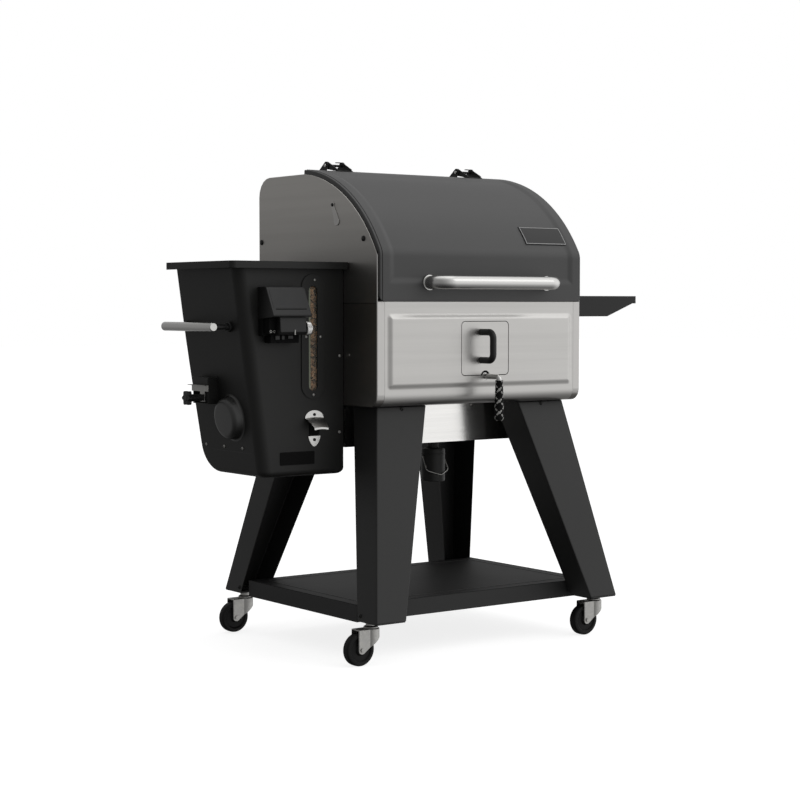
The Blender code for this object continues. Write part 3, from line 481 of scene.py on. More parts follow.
def aimed(bm, centre, direction):
    """Turns a shape written along +Z to point another way, and moves it."""
    turn = UP.rotation_difference(Vector(direction)).to_matrix().to_4x4()
    bmesh.ops.transform(bm, verts=bm.verts, matrix=Matrix.Translation(Vector(centre)) @ turn)
    return bm


def turned(profile, centre, direction, steps=48):
    """A (radius, height) line spun about an axis; a line that starts and ends on the axis is closed."""
    bm = bmesh.new()
    line = [bm.verts.new((r, 0, h)) for r, h in profile]
    edges = [bm.edges.new(pair) for pair in zip(line, line[1:])]
    if profile[0][0] and profile[-1][0]:
        edges.append(bm.edges.new((line[-1], line[0])))
    bmesh.ops.spin(
        bm, geom=line + edges, cent=(0, 0, 0), axis=(0, 0, 1), angle=tau, steps=steps, use_merge=True,
        use_duplicate=False,
    )
    bmesh.ops.remove_doubles(bm, verts=bm.verts, dist=1e-6)
    return aimed(outward(bm), centre, direction)


def rod(start, end, radius, steps=24, edge=0.0):
    start, end = Vector(start), Vector(end)
    long = (end - start).length
    edge = min(edge, long / 3)
    profile = [(0, 0), (radius, 0), (radius, long), (0, long)]
    if edge:
        profile[1:3] = [(radius - edge, 0), (radius, edge), (radius, long - edge), (radius - edge, long)]
    return turned(profile, start, end - start, steps)


def bent_tube(points, radius, bend, sides=32, steps=12, cap=True):
    """A round bar along a line with rounded corners, pushed straight and turned at each corner."""
    points = [Vector(p) for p in points]
    bm = bmesh.new()
    ring = bmesh.ops.create_circle(bm, cap_ends=cap, segments=sides, radius=radius)["verts"]
    aimed(bm, points[0], points[1] - points[0])
    edges = list({e for v in ring for e in v.link_edges})

    def push():
        grown = bmesh.ops.extrude_edge_only(bm, edges=push.edges)["geom"]
        push.edges = [g for g in grown if isinstance(g, bmesh.types.BMEdge)]
        return [g for g in grown if isinstance(g, bmesh.types.BMVert)]

    push.edges = edges
    reach = 0.0
    for i, here in enumerate(points[1:], 1):
        before = (here - points[i - 1]).normalized()
        last = i == len(points) - 1
        after = before if last else (points[i + 1] - here).normalized()
        turn = before.angle(after)
        corner = 0.0 if last else bend * sin(turn / 2) / cos(turn / 2)
        bmesh.ops.translate(bm, verts=push(), vec=before * ((here - points[i - 1]).length - reach - corner))
        reach = corner
        if last:
            continue
        axis = before.cross(after).normalized()
        middle = here - before * corner + axis.cross(before) * bend
        for _ in range(steps):
            bmesh.ops.rotate(bm, verts=push(), cent=middle, matrix=Matrix.Rotation(turn / steps, 3, axis))
    if cap:
        bmesh.ops.edgeloop_fill(bm, edges=push.edges)
    return outward(bm)


def joined(shapes):
    """Several shapes as one."""
    whole = bmesh.new()
    for bm in shapes:
        mesh = bpy.data.meshes.new("shape")
        bm.to_mesh(mesh)
        bm.free()
        whole.from_mesh(mesh)
        bpy.data.meshes.remove(mesh)
    return whole


def carved(bm, *cutters):
    """The shape with others cut out of it."""
    helpers = []
    for shape in (bm, *cutters):
        mesh = bpy.data.meshes.new("carving")
        shape.to_mesh(mesh)
        shape.free()
        helpers.append(bpy.data.objects.new("carving", mesh))
        bpy.context.scene.collection.objects.link(helpers[-1])
    for tool in helpers[1:]:
        step = helpers[0].modifiers.new("carve", "BOOLEAN")
        step.operation = "DIFFERENCE"
        step.solver = "EXACT"
        step.object = tool
    bpy.context.view_layer.update()
    whole = helpers[0].evaluated_get(bpy.context.evaluated_depsgraph_get())
    result = bmesh.new()
    result.from_mesh(whole.to_mesh())
    whole.to_mesh_clear()
    for helper in helpers:
        mesh = helper.data
        bpy.data.objects.remove(helper)
        bpy.data.meshes.remove(mesh)
    return result


def stations(*stops):
    """Places along a line, from (start, end, count) runs."""
    found = []
    for start, end, count in stops:
        found += [start + (end - start) * i / count for i in range(count)]
    return [*found, stops[-1][1]]


def patch(across, along, place):
    """A grid whose points a function places, from two lists of stations."""
    columns, rows = len(across) - 1, len(along) - 1
    bm = bmesh.new()
    bmesh.ops.create_grid(bm, x_segments=columns, y_segments=rows, size=1.0)
    for vert in bm.verts:
        column, row = round((vert.co.x + 1) / 2 * columns), round((vert.co.y + 1) / 2 * rows)
        vert.co = place(across[column], along[row])
    bm.normal_update()
    return bm


def smooth(t):
    t = max(0.0, min(1.0, t))
    return t * t * (3 - 2 * t)


def inside_depth(x, z, half_x, z0, z1, radius):
    """How far a point lies inside a rectangle with round corners."""
    middle, half_z = (z0 + z1) / 2, (z1 - z0) / 2
    dx, dz = abs(x) - half_x + radius, abs(z - middle) - half_z + radius
    return radius - hypot(max(dx, 0), max(dz, 0)) - min(max(dx, dz), 0)


def refined(node, width=0.0005, steps=2, angle=30.0):
    """A copy of a CAD node's shape with its triangles merged and its edges rounded."""
    bm = bmesh.new()
    bm.from_mesh(NODES[node].data)
    bmesh.ops.remove_doubles(bm, verts=bm.verts, dist=2e-6)
    bmesh.ops.dissolve_limit(bm, angle_limit=radians(0.5), verts=bm.verts, edges=bm.edges)
    if width:
        soften(bm, width, steps, angle)
    bmesh.ops.translate(bm, verts=bm.verts, vec=-MIDDLE)
    return bm


def keep(node, finish=None, width=0.0005, steps=2, sharp=32.0):
    """Shows a CAD node's own shape with rounded edges in its place."""
    shape = refined(node, width, steps)
    slot = SLOT_OF[node]
    return show(f"{node}_finished", shape, BODY_OF[node], finish or slot, slot, (node,), sharp)


SUNK = 0.0005  # how far a screw's head sits in its sheet


def hexagon(radius):
    return [(radius * cos(tau * i / 6), radius * sin(tau * i / 6)) for i in range(6)]


def bolt_shape(centre, direction, radius, kind="pan"):
    """A screw or bolt head: pan, cross, hex, dome or button."""
    high = radius * 0.55
    if kind == "hex":
        head = soften(prism(hexagon(radius), "Z", 0.0, high), radius * 0.12, 2)
        brim = radius * 1.25
        collar = [(0, -SUNK), (brim, -SUNK), (brim, high * 0.25), (0, high * 0.25)]
        return aimed(joined([head, turned(collar, (0, 0, 0), UP, 24)]), centre, direction)
    dome = [(1.0, 0.0), (0.96, 0.45), (0.75, 0.82), (0.4, 1.0), (0, 1.0)]
    profile = [(0, -SUNK), (radius, -SUNK)] + [(radius * r, high * h) for r, h in dome]
    head = turned(profile, (0, 0, 0), UP, 24)
    if kind in ("pan", "cross"):
        wide, thin = radius * 0.55, radius * 0.12
        slots = [box((-wide, -thin, high * 0.45), (wide, thin, high * 2)),
                 box((-thin, -wide, high * 0.45), (thin, wide, high * 2))]
        head = carved(head, *slots)
    if kind == "button":
        head = carved(head, prism(hexagon(radius * 0.42), "Z", high * 0.35, high * 2))
    return aimed(head, centre, direction)


def bolts(name, body, slot, finish, kind, radius, places):
    """A group of like screws on one body: places are (centre, direction)."""
    shapes = [bolt_shape(centre, direction, radius, kind) for centre, direction in places]
    return show(name, joined(shapes), body, finish, slot)


LEFT, RIGHT, FRONT, BACK = (-1, 0, 0), (1, 0, 0), (0, -1, 0), (0, 1, 0)


# --- cook box ------------------------------------------------------------------------------------


def side_panels():
    """The two sides, their outer edge folded over a visible radius."""
    for side, sx in (("left", -1), ("right", 1)):
        shape = refined(f"side_panel_{side}", 0)
        rim = [e for e in shape.edges if len(e.link_faces) == 2 and e.calc_face_angle(0) > radians(30)
               and all(abs(v.co.x - sx * HALF_W) < 1e-4 for v in e.verts)]
        soften(shape, 0.0030, 4, edges=rim)
        show(f"side_skin_{side}", shape, "cart", "side_steel", "side_steel", (f"side_panel_{side}",))


def front_panel():
    """The brushed front: a raised field with a sloped border, rolled under at the bottom."""
    half, roll = 0.3022, 0.030
    z0, z1, half_x = 0.657, 0.844, 0.296
    edge, slope = 0.0008, FIELD_SLOPE
    across = stations((-half, -half_x - edge, 2), (-half_x - edge, -half_x + edge, 2),
                      (-half_x + edge, -half_x + slope + edge, 12), (-half_x + slope + edge, -0.16, 4),
                      (-0.16, 0.16, 8), (0.16, half_x - slope - edge, 4),
                      (half_x - slope - edge, half_x - edge, 12), (half_x - edge, half_x + edge, 2),
                      (half_x + edge, half, 2))
    turn = roll * pi / 2
    levels = [z - FLOOR_Z - roll + turn for z in
              stations((z0 - edge, z0 + edge, 2), (z0 + edge, z0 + slope + edge, 12),
                       (z0 + slope + edge, z1 - slope - edge, 8), (z1 - slope - edge, z1 - edge, 12),
                       (z1 - edge, z1 + edge, 2), (z1 + edge, SPLIT_Z - 0.0015, 3))]
    along = stations((-0.006, 0.0, 1), (0.0, turn, 10), (turn, levels[0], 2))[:-1] + levels

    def place(x, s):
        if s < 0:
            return (x, -HALF_D + roll - s, FLOOR_Z)
        if s < turn:
            a = s / roll
            return (x, -HALF_D + roll - roll * sin(a), FLOOR_Z + roll - roll * cos(a))
        z = FLOOR_Z + roll + s - turn
        rise = FIELD_PROUD * smooth(inside_depth(x, z, half_x, z0, z1, 0.012) / slope)
        return (x, -HALF_D - rise, z)

    skin = patch(across, along, place)
    bmesh.ops.solidify(skin, geom=skin.faces[:], thickness=0.0016)
    skin = outward(skin)
    gap = 0.0014
    reach = DOOR_W / 2 + gap
    opening = rounded(DOOR_X - reach, DOOR_X + reach, DOOR_Z0 - gap, DOOR_Z1 + gap, 0.0115)
    notch = rod((LEVER_X, -0.30, LEVER_Z), (LEVER_X, -0.24, LEVER_Z), 0.0098, 40)
    skin = carved(skin, prism(opening, "Y", -0.30, -0.24), notch)
    show("front_skin", skin, "cart", "stainless", "stainless", ("front_panel",), 24.0)


def drawer_front():
    """The smoke drawer's door, flush with the raised field, cut round the lever's shaft."""
    half = DOOR_W / 2
    face = -HALF_D - FIELD_PROUD
    plate = prism(rounded(DOOR_X - half, DOOR_X + half, DOOR_Z0, DOOR_Z1, 0.0100), "Y", face, -HALF_D + SHEET)
    plate = carved(plate, rod((LEVER_X, -0.30, LEVER_Z), (LEVER_X, -0.24, LEVER_Z), 0.0140, 40))
    soften(plate, 0.0010, 3, 50.0)
    show("drawer_front", plate, "smoke_drawer", "stainless", "stainless", ("drawer_door",))
    x, z, reach, half_h = -0.0080, 0.7610, 0.0525, 0.0352
    root = -HALF_D - 0.0003
    points = [(x, root, z + half_h), (x, root - reach, z + half_h), (x, root - reach, z - half_h),
              (x, root, z - half_h)]
    show("drawer_pull", bent_tube(points, 0.0083, 0.0160, 28, 10), "smoke_drawer", "plastic", "plastic",
         ("drawer_handle",))


def valve_lever():
    """The lever's steel shaft and the bush that it turns in."""
    points = [(LEVER_X, -0.072, LEVER_Z), (LEVER_X, GRIP_Y, LEVER_Z), (LEVER_X, GRIP_Y, LEVER_Z - 0.0137)]
    shaft = bent_tube(points, 0.0066, 0.0088, 28, 10)
    show("lever_shaft", shaft, "lever", "polished", "polished", ("valve_shaft",))
    bush = [(0.0072, 0), (0.0092, 0), (0.0092, 0.0060), (0.0072, 0.0060)]
    ring = turned(bush, (LEVER_X, -HALF_D + 0.002, LEVER_Z), FRONT, 32)
    show("lever_bush", ring, "lever", "polished", "polished")


GRIP_TOP, GRIP_LOW = LEVER_Z - 0.0095, LEVER_Z - 0.1090
STRANDS, STRAND_STEPS, STRAND_SIDES = 8, 76, 6
STRAND_TURNS = 1.75
GRIP_TIP = 0.93  # share of the grip's length at which its end starts to close


def strand_frame(hand, k, t):
    """The centre of a strand at a share of the grip's length, and its flat and outward directions."""
    angle = GRIP_FACE + hand * (t - 0.224) * tau * STRAND_TURNS + tau * k / STRANDS
    weave = 0.00045 * hand * cos(STRANDS * (angle - GRIP_FACE) + 0.5)
    out = 0.0086 + 0.0019 * smooth(t * 1.4) + weave
    if t > GRIP_TIP:
        out -= 0.0045 * ((t - GRIP_TIP) / (1 - GRIP_TIP)) ** 2
    drop = GRIP_LOW - GRIP_TOP
    centre = Vector((LEVER_X + out * cos(angle), GRIP_Y + out * sin(angle), GRIP_TOP + drop * t))
    ahead = Vector((-sin(angle), cos(angle), 0)) * hand * 0.0186 * tau * 0.85 + Vector((0, 0, drop))
    outwards = Vector((cos(angle), sin(angle), 0))
    return centre, ahead.normalized().cross(outwards).normalized(), outwards


def braided_grip():
    """Flat strands wound both ways over a core, two of each hand being pale tracers."""
    braid = bmesh.new()
    tracer = braid.verts.layers.float.new("tracer")
    core = turned([(0, 0), (0.0082, 0), (0.0094, -0.040), (0.0102, -0.085), (0.0070, -0.0945), (0, -0.0955)],
                  (LEVER_X, GRIP_Y, GRIP_TOP), UP, 32)
    mesh = bpy.data.meshes.new("core")
    core.to_mesh(mesh)
    core.free()
    braid.from_mesh(mesh)
    for hand, k in [(hand, k) for hand in (-1, 1) for k in range(STRANDS)]:
        rings = []
        for i in range(STRAND_STEPS + 1):
            centre, flat, outwards = strand_frame(hand, k, i / STRAND_STEPS)
            ring = []
            for a in range(STRAND_SIDES):
                turn = tau * a / STRAND_SIDES
                around = flat * 0.0021 * cos(turn) + outwards * 0.00085 * sin(turn)
                ring.append(braid.verts.new(centre + around))
                ring[-1][tracer] = 1.0 if k in (0, STRANDS // 2) else 0.0
            rings.append(ring)
        for low_ring, high_ring in zip(rings, rings[1:]):
            for a in range(STRAND_SIDES):
                b = (a + 1) % STRAND_SIDES
                braid.faces.new((low_ring[a], low_ring[b], high_ring[b], high_ring[a]))
        braid.faces.new(rings[0][::-1])
        braid.faces.new(rings[-1])
    show("braided_grip", outward(braid), "lever", "cord", "cord", ("lever_grip",), 60.0)


def grates():
    """Welded wire grates: bars across the depth on a few cross bars, in a round-bar rim."""
    for node, y0, y1, z, pitch, finish in (
        ("lower_grate", -0.2380, 0.2380, 0.8835, 0.0165, "enamel"),
        ("upper_rack", -0.0780, 0.2030, 1.0335, 0.0165, "polished"),
    ):
        half = 0.3160
        rim = [(-half, y0, z), (half, y0, z), (half, y1, z), (-half, y1, z), (-half, y0, z)]
        shapes = [rod(a, b, 0.0028, 10) for a, b in zip(rim, rim[1:])]
        count = int(2 * half / pitch)
        for i in range(1, count):
            x = -half + 2 * half * i / count
            shapes.append(rod((x, y0, z + 0.0008), (x, y1, z + 0.0008), 0.0021, 8))
        for i in range(1, 4):
            y = y0 + (y1 - y0) * i / 4
            shapes.append(rod((-half, y, z - 0.0020), (half, y, z - 0.0020), 0.0026, 8))
        show(f"{node}_wires", joined(shapes), BODY_OF[node], finish, SLOT_OF[node], (node,), 60.0)


def cook_box_fasteners():
    side = -HALF_W
    bolts("side_bolts", "cart", "zinc", "badge_black", "dome", 0.0072,
          [((side, -0.2106, 1.0253), LEFT), ((side, 0.2538, 1.0276), LEFT),
           ((-side, -0.2106, 1.0253), RIGHT), ((-side, 0.2538, 1.0276), RIGHT)])
    bolts("side_screws", "cart", "zinc", "zinc", "cross", 0.0035,
          [((side, -0.148, 0.741), LEFT), ((-side, -0.148, 0.741), RIGHT), ((-side, 0.148, 0.741), RIGHT)])
    bolts("rear_screws", "cart", "zinc", "zinc", "cross", 0.0040,
          [((x, HALF_D, z), BACK) for x in (-0.308, 0.308) for z in (0.66, 0.80, 0.94, 1.08)])
    bolts("probe_rivet", "probe_cover", "zinc", "badge_black", "dome", 0.0046,
          [((side - 0.0018, -0.0786, 1.112), LEFT)])


def skirt_details():
    """The fold lines and spot welds of the steel box under the floor."""
    # The skirt takes the brightened copy of the stainless, painted light against the shade under the cook
    # box.
    keep("base_skirt", "skirt_steel", 0.0006)
    bolts("skirt_rivets", "cart", "zinc", "zinc", "dome", 0.0030,
          [((x, -0.1078, 0.604), FRONT) for x in (-0.27, -0.09, 0.09, 0.27)])


# --- lid -----------------------------------------------------------------------------------------

KINK_Z = ARC_Z + sqrt(LID_R**2 - (LID_FRONT - ARC_Y) ** 2)
KINK_ANGLE = atan2(KINK_Z - ARC_Z, LID_FRONT - ARC_Y)
REAR_ANGLE = atan2(sqrt(LID_R**2 - (LID_REAR - ARC_Y) ** 2), LID_REAR - ARC_Y)
UPRIGHT = KINK_Z - SPLIT_Z
BEND_R = 0.045
PRESS = 0.0036


def lid_point(s, inset=0.0):
    """A point of the lid's section and its outward direction, from its length along the section."""
    corner_turn = pi - KINK_ANGLE
    cut_back = BEND_R * sin(corner_turn / 2) / cos(corner_turn / 2)
    if s < UPRIGHT - cut_back:
        out = Vector((0, -1, 0))
        at = Vector((0, LID_FRONT, SPLIT_Z + s))
    elif s < UPRIGHT + cut_back:
        t = (s - UPRIGHT + cut_back) / (2 * cut_back)
        out = Vector((0, -cos(corner_turn * t), sin(corner_turn * t)))
        middle = Vector((0, LID_FRONT + BEND_R, KINK_Z - cut_back))
        at = middle + out * BEND_R
    else:
        angle = KINK_ANGLE - (s - UPRIGHT) / LID_R
        out = Vector((0, cos(angle), sin(angle)))
        at = Vector((0, ARC_Y, ARC_Z)) + out * LID_R
    return at - out * inset, out


def along_lid(y):
    """The length along the lid's section at which its arc reaches a depth."""
    return UPRIGHT + LID_R * (KINK_ANGLE - atan2(sqrt(LID_R**2 - (y - ARC_Y) ** 2), y - ARC_Y))


def lid_skin():
    """The lid: a sheet with a shallow pressed field, rolled side edges and rounded lower corners."""
    length = UPRIGHT + LID_R * (KINK_ANGLE - REAR_ANGLE)
    low = 0.9136 - SPLIT_Z
    fade = length - 0.085
    field, slope, sink = 0.2950, 0.0190, PRESS
    edge_band, step = 0.3150, 0.0016
    half, roll, corner = LID_HALF_W, 0.0030, 0.0120
    right = stations((0.0, 0.26, 5), (0.26, field - slope - 0.001, 2),
                     (field - slope - 0.001, field + 0.001, 9),
                     (field + 0.001, edge_band - step, 3), (edge_band - step, edge_band, 4),
                     (edge_band, half - roll, 2), (half - roll, half, 6))
    across = [-x for x in right[:0:-1]] + right
    along = stations((0.0, 0.012, 6), (0.012, low - 0.001, 4), (low - 0.001, low + slope + 0.001, 9),
                     (low + slope + 0.001, UPRIGHT - 0.014, 5), (UPRIGHT - 0.014, UPRIGHT + 0.014, 10),
                     (UPRIGHT + 0.014, length - 0.11, 26), (length - 0.11, length, 14))

    def place(x, s):
        wide = abs(x)
        inset = 0.0
        if s > low - 0.001 and wide < field + 0.001:
            inside = min(s - low, field - wide)
            inset += sink * smooth(inside / slope) * (1 - smooth((s - fade) / 0.06))
        inset += 0.0012 * smooth((wide - edge_band + step) / step)
        if wide > half - roll:
            inset += roll - sqrt(max(0.0, roll**2 - (wide - half + roll) ** 2))
        if s < 0.030 and wide > half - corner:
            rise = corner - sqrt(max(0.0, corner**2 - (wide - half + corner) ** 2))
            s = rise + s * (0.030 - rise) / 0.030
        at, _ = lid_point(s, inset)
        return (x, at.y, at.z)

    skin = patch(across, along, place)
    rims = [e for e in skin.edges
            if len(e.link_faces) == 1 and all(abs(abs(v.co.x) - half) < 1e-6 for v in e.verts)]
    grown = bmesh.ops.extrude_edge_only(skin, edges=rims)["geom"]
    centre = Vector((0, ARC_Y, ARC_Z))
    for v in [g for g in grown if isinstance(g, bmesh.types.BMVert)]:
        flat = Vector((0, v.co.y, v.co.z))
        inward = (centre - flat).normalized() if v.co.z > KINK_Z else Vector((0, 1, 0))
        v.co += inward * 0.017
    bmesh.ops.recalc_face_normals(skin, faces=skin.faces)
    crown = max(skin.faces, key=lambda f: f.calc_center_median().z)
    if crown.normal.z < 0:
        bmesh.ops.reverse_faces(skin, faces=skin.faces)
    bmesh.ops.solidify(skin, geom=skin.faces[:], thickness=0.0015)
    show("lid_skin", outward(skin), "lid", "lid_paint", "lid_paint", ("lid_shell",), 40.0)


def lid_handle():
    """The tubular handle and the rosette at each end."""
    span, reach, z, x = 0.1881, 0.0520, 0.9190, 0.0135
    face = LID_FRONT - 0.0002
    out = face - reach
    points = [(x - span, face, z), (x - span, out, z), (x + span, out, z), (x + span, face, z)]
    bar = bent_tube(points, 0.0165, 0.0340, 40, 18)
    show("lid_bar", bar, "lid", "polished", "polished", ("lid_handle",), 50.0)
    rose = [(0.0155, -0.003), (0.0192, -0.003), (0.0192, 0.0020), (0.0186, 0.0030), (0.0172, 0.0034),
            (0.0155, 0.0034)]
    roses = [turned(rose, (x + side * span, face, z), FRONT, 48) for side in (-1, 1)]
    show("lid_bar_roses", joined(roses), "lid", "polished", "polished")


def plate_part(x0, x1, t0, t1, rise, thick):
    """A strip that follows the lid's pressed field, its face standing proud of it."""

    def place(x, s):
        at, _ = lid_point(s, PRESS - rise)
        return (x, at.y, at.z)

    bm = outward(patch(stations((x0, x1, 10)), stations((t0, t1, 10)), place))
    if bm.faces[:][0].normal.y > 0:
        bmesh.ops.reverse_faces(bm, faces=bm.faces)
    bmesh.ops.solidify(bm, geom=bm.faces[:], thickness=thick)
    return outward(bm)


def name_plate():
    """The lid's blank name plate and its thin pale border."""
    s0, s1 = (along_lid(y) for y in (-0.2590, -0.2245))
    plate = soften(plate_part(0.1512, 0.2876, s0, s1, 0.0022, 0.0022), 0.0006, 2, 50.0)
    show("lid_plate", plate, "lid", "badge_black", "black_paint", ("lid_badge",))
    a, b, c, d, w = 0.1530, 0.2858, s0 + 0.0018, s1 - 0.0018, 0.0016
    lines = [plate_part(a, b, c, c + w, 0.0025, 0.0006), plate_part(a, b, d - w, d, 0.0025, 0.0006),
             plate_part(a, a + w, c, d, 0.0025, 0.0006), plate_part(b - w, b, c, d, 0.0025, 0.0006)]
    show("lid_plate_border", joined(lines), "lid", "pale_line", "polished")


def hinges():
    """Both halves of each hinge, the ends of its pin and its screws."""
    for side in ("left", "right"):
        keep(f"hinge_leaf_{side}", width=0.0004)
        keep(f"hinge_base_{side}", width=0.0004)
    for side, x in (("left", -HINGE_X), ("right", HINGE_X)):
        bolts(f"hinge_pin_{side}", "cart", "zinc", "polished", "dome", 0.0042,
              [((x - 0.0290, HINGE_Y, HINGE_Z), LEFT), ((x + 0.0290, HINGE_Y, HINGE_Z), RIGHT)])
        bolts(f"hinge_screws_{side}", "cart", "zinc", "black_paint", "button", 0.0042,
              [((x + dx, 0.1130, ROOF_Z + 0.0028), UP) for dx in (-0.012, 0.012)])


# --- hopper --------------------------------------------------------------------------------------


def hopper_left(z):
    return HOP_TOP_X + (HOP_LOW_X - HOP_TOP_X) * (HOP_Z1 - z) / (HOP_Z1 - HOP_Z0)


LEAN = atan2(HOP_LOW_X - HOP_TOP_X, HOP_Z1 - HOP_Z0)
WALL_OUT = Vector((-cos(LEAN), 0, -sin(LEAN)))


def hopper_shell():
    """The tapered pressed bin, open at the top, with its window slot and the feed tube's hole."""
    bm = bmesh.new()
    rings = []
    for z in (HOP_Z0, HOP_Z1):
        left = hopper_left(z)
        corners = ((left, HOP_FRONT), (HOP_RIGHT, HOP_FRONT), (HOP_RIGHT, HOP_REAR), (left, HOP_REAR))
        rings.append([bm.verts.new((x, y, z)) for x, y in corners])
    bm.faces.new(rings[0][::-1])
    bm.faces.new(rings[1])
    for i in range(4):
        j = (i + 1) % 4
        bm.faces.new((rings[0][i], rings[0][j], rings[1][j], rings[1][i]))
    near = 1e-4

    def edges(test):
        return [e for e in bm.edges if all(test(v.co) for v in e.verts)]

    soften(bm, 0.070, 16, edges=edges(lambda v: abs(v.z - HOP_Z0) < near and abs(v.y - HOP_REAR) < near))
    soften(bm, 0.028, 10, edges=edges(lambda v: abs(v.y - HOP_FRONT) < near and v.x < -0.5))
    base = [e for e in bm.edges if len(e.link_faces) == 2 and e.calc_face_angle(0) > radians(40)
            and all(v.co.z < HOP_Z1 - 0.01 for v in e.verts)]
    soften(bm, 0.016, 8, edges=base)
    upper = [f for f in bm.faces if all(abs(v.co.z - HOP_Z1) < near for v in f.verts)]
    bmesh.ops.delete(bm, geom=upper, context="FACES")
    outward(bm)
    probe = max(bm.faces, key=lambda f: f.calc_area())
    if probe.normal.dot(probe.calc_center_median() - Vector((-0.46, 0.02, 0.7))) < 0:
        bmesh.ops.reverse_faces(bm, faces=bm.faces)
    bmesh.ops.solidify(bm, geom=bm.faces[:], thickness=SHEET)
    slot = prism(rounded(WINDOW_X - 0.0135, WINDOW_X + 0.0135, 0.6540, 0.9110, 0.0130, 12), "Y",
                 HOP_FRONT - 0.01, HOP_FRONT + 0.01)
    hole = rod((-0.35, FEED_Y, 0.572), (-0.30, FEED_Y, 0.572), 0.0265, 40)
    show("hopper_skin", carved(bm, slot, hole), "cart", "black_paint", "black_paint", ("hopper_shell",), 40.0)


def hopper_pressings():
    """The round bump over the motor and the seam low on the leaning wall."""
    bulge_z = 0.5897
    centre = Vector((hopper_left(bulge_z), -0.0170, bulge_z))
    dish = [(0, 0.0255), (0.0370, 0.0255), (0.0410, 0.0251), (0.0445, 0.0238), (0.0472, 0.0215),
            (0.0492, 0.0185), (0.0506, 0.0150), (0.0530, 0.0060), (0.0535, 0.0035), (0.0545, 0.0018),
            (0.0560, 0.0008), (0.0590, 0.0004)]
    bump = turned(dish + [(0.0590, -0.0012), (0, -0.0012)], centre, WALL_OUT, 64)
    show("hopper_bump", bump, "cart", "bump_paint", "black_paint", sharp=50.0)
    seam = [(hopper_left(0.505) - 0.0004, 0.5045), (hopper_left(0.505) + 0.001, 0.5045),
            (hopper_left(0.505) + 0.001, 0.5062), (hopper_left(0.505) - 0.0004, 0.5062)]
    show("hopper_seam", prism(seam, "Y", -0.095, 0.100), "cart", "plastic", "black_paint")


def hopper_cap():
    """The hopper's lid, its edge turned down and bowed out a little at the front and left."""
    right, left, front, rear, bow = -0.3270, -0.6590, -0.1465, 0.1750, 0.0025
    z0, z1 = 0.9515, 0.9690
    outline = [(right, rear), (left + 0.012, rear)] + arc((left + 0.012, rear - 0.012), 0.012, 90, 180, 6)[1:]
    side0, side1 = rear - 0.012, front + 0.014
    outline += [(left - bow * sin(pi * t / 16), side0 + (side1 - side0) * t / 16) for t in range(1, 16)]
    outline += arc((left + 0.014, front + 0.014), 0.014, 180, 270, 6)
    start = left + 0.014
    outline += [(start + (right - start) * t / 16, front - bow * sin(pi * t / 16)) for t in range(1, 17)]
    cap = prism(outline, "Z", z0, z1)
    inner = box((left + 0.0045, front + 0.0045, z0 - 0.01), (right + 0.01, rear + 0.01, z1 - 0.003))
    cap = soften(carved(cap, inner), 0.0016, 3, 50.0)
    show("hopper_cap", cap, "hopper_lid", "black_paint", "black_paint", ("hopper_lid",))


def hopper_bar():
    """The push bar on two posts, each with a black washer at the wall."""
    x, z, front, rear, radius = -0.6680, 0.8115, -0.0780, 0.1600, 0.0110
    show("push_bar", rod((x, front, z), (x, rear, z), radius, 40, 0.0018), "cart", "polished", "polished",
         ("hopper_handle",))
    posts, washers = [], []
    for y in (front + 0.016, rear - 0.016):
        wall = hopper_left(z)
        posts.append(rod((x, y, z), (wall - 0.003, y, z), 0.0062, 24))
        posts.append(rod((wall - 0.016, y, z), (wall - 0.008, y, z), 0.0085, 24, 0.0008))
        washers.append(rod((wall - 0.0080, y, z), (wall + 0.0005, y, z), 0.0125, 32, 0.0015))
    show("push_bar_posts", joined(posts), "cart", "plastic", "plastic")
    show("push_bar_washers", joined(washers), "cart", "plastic", "plastic")


def hopper_window():
    """The bezel, the clear strip and the pellets that show behind it."""
    face = HOP_FRONT - 0.0003
    outline = rounded(WINDOW_X - 0.0335, WINDOW_X + 0.0335, 0.6350, 0.9400, 0.0330, 16)
    opening = rounded(WINDOW_X - 0.0125, WINDOW_X + 0.0125, 0.6550, 0.9100, 0.0124, 12)
    slot = prism(opening, "Y", face - 0.01, face + 0.01)
    bezel = soften(carved(prism(outline, "Y", face - 0.0025, face), slot), 0.0007, 3, 50.0)
    show("window_bezel", bezel, "cart", "black_paint", "black_paint", ("window_frame",))
    bolts("window_screws", "cart", "zinc", "zinc", "cross", 0.0035,
          [((x, face - 0.0025, z), FRONT) for x, z in
           ((-0.4120, 0.9250), (-0.4160, 0.6450), (-0.4375, 0.7865), (-0.3955, 0.7860))])
    inner = HOP_FRONT + 0.0024
    pane = prism(rounded(WINDOW_X - 0.022, WINDOW_X + 0.022, 0.646, 0.919, 0.010), "Y", inner, inner + 0.002)
    show("clear_strip", soften(pane, 0.0004, 2, 50.0), "cart", "clear", "clear", ("window_pane",))
    edge = soften(prism(rounded(WINDOW_X - 0.0126, WINDOW_X - 0.0062, 0.6580, 0.9070, 0.0023, 4), "Y",
                        face + 0.0004, inner - 0.0002), 0.0004, 2, 50.0)
    show("clear_strip_edge", edge, "cart", "strip_edge", "clear")
    loose_pellets(inner + 0.0035)


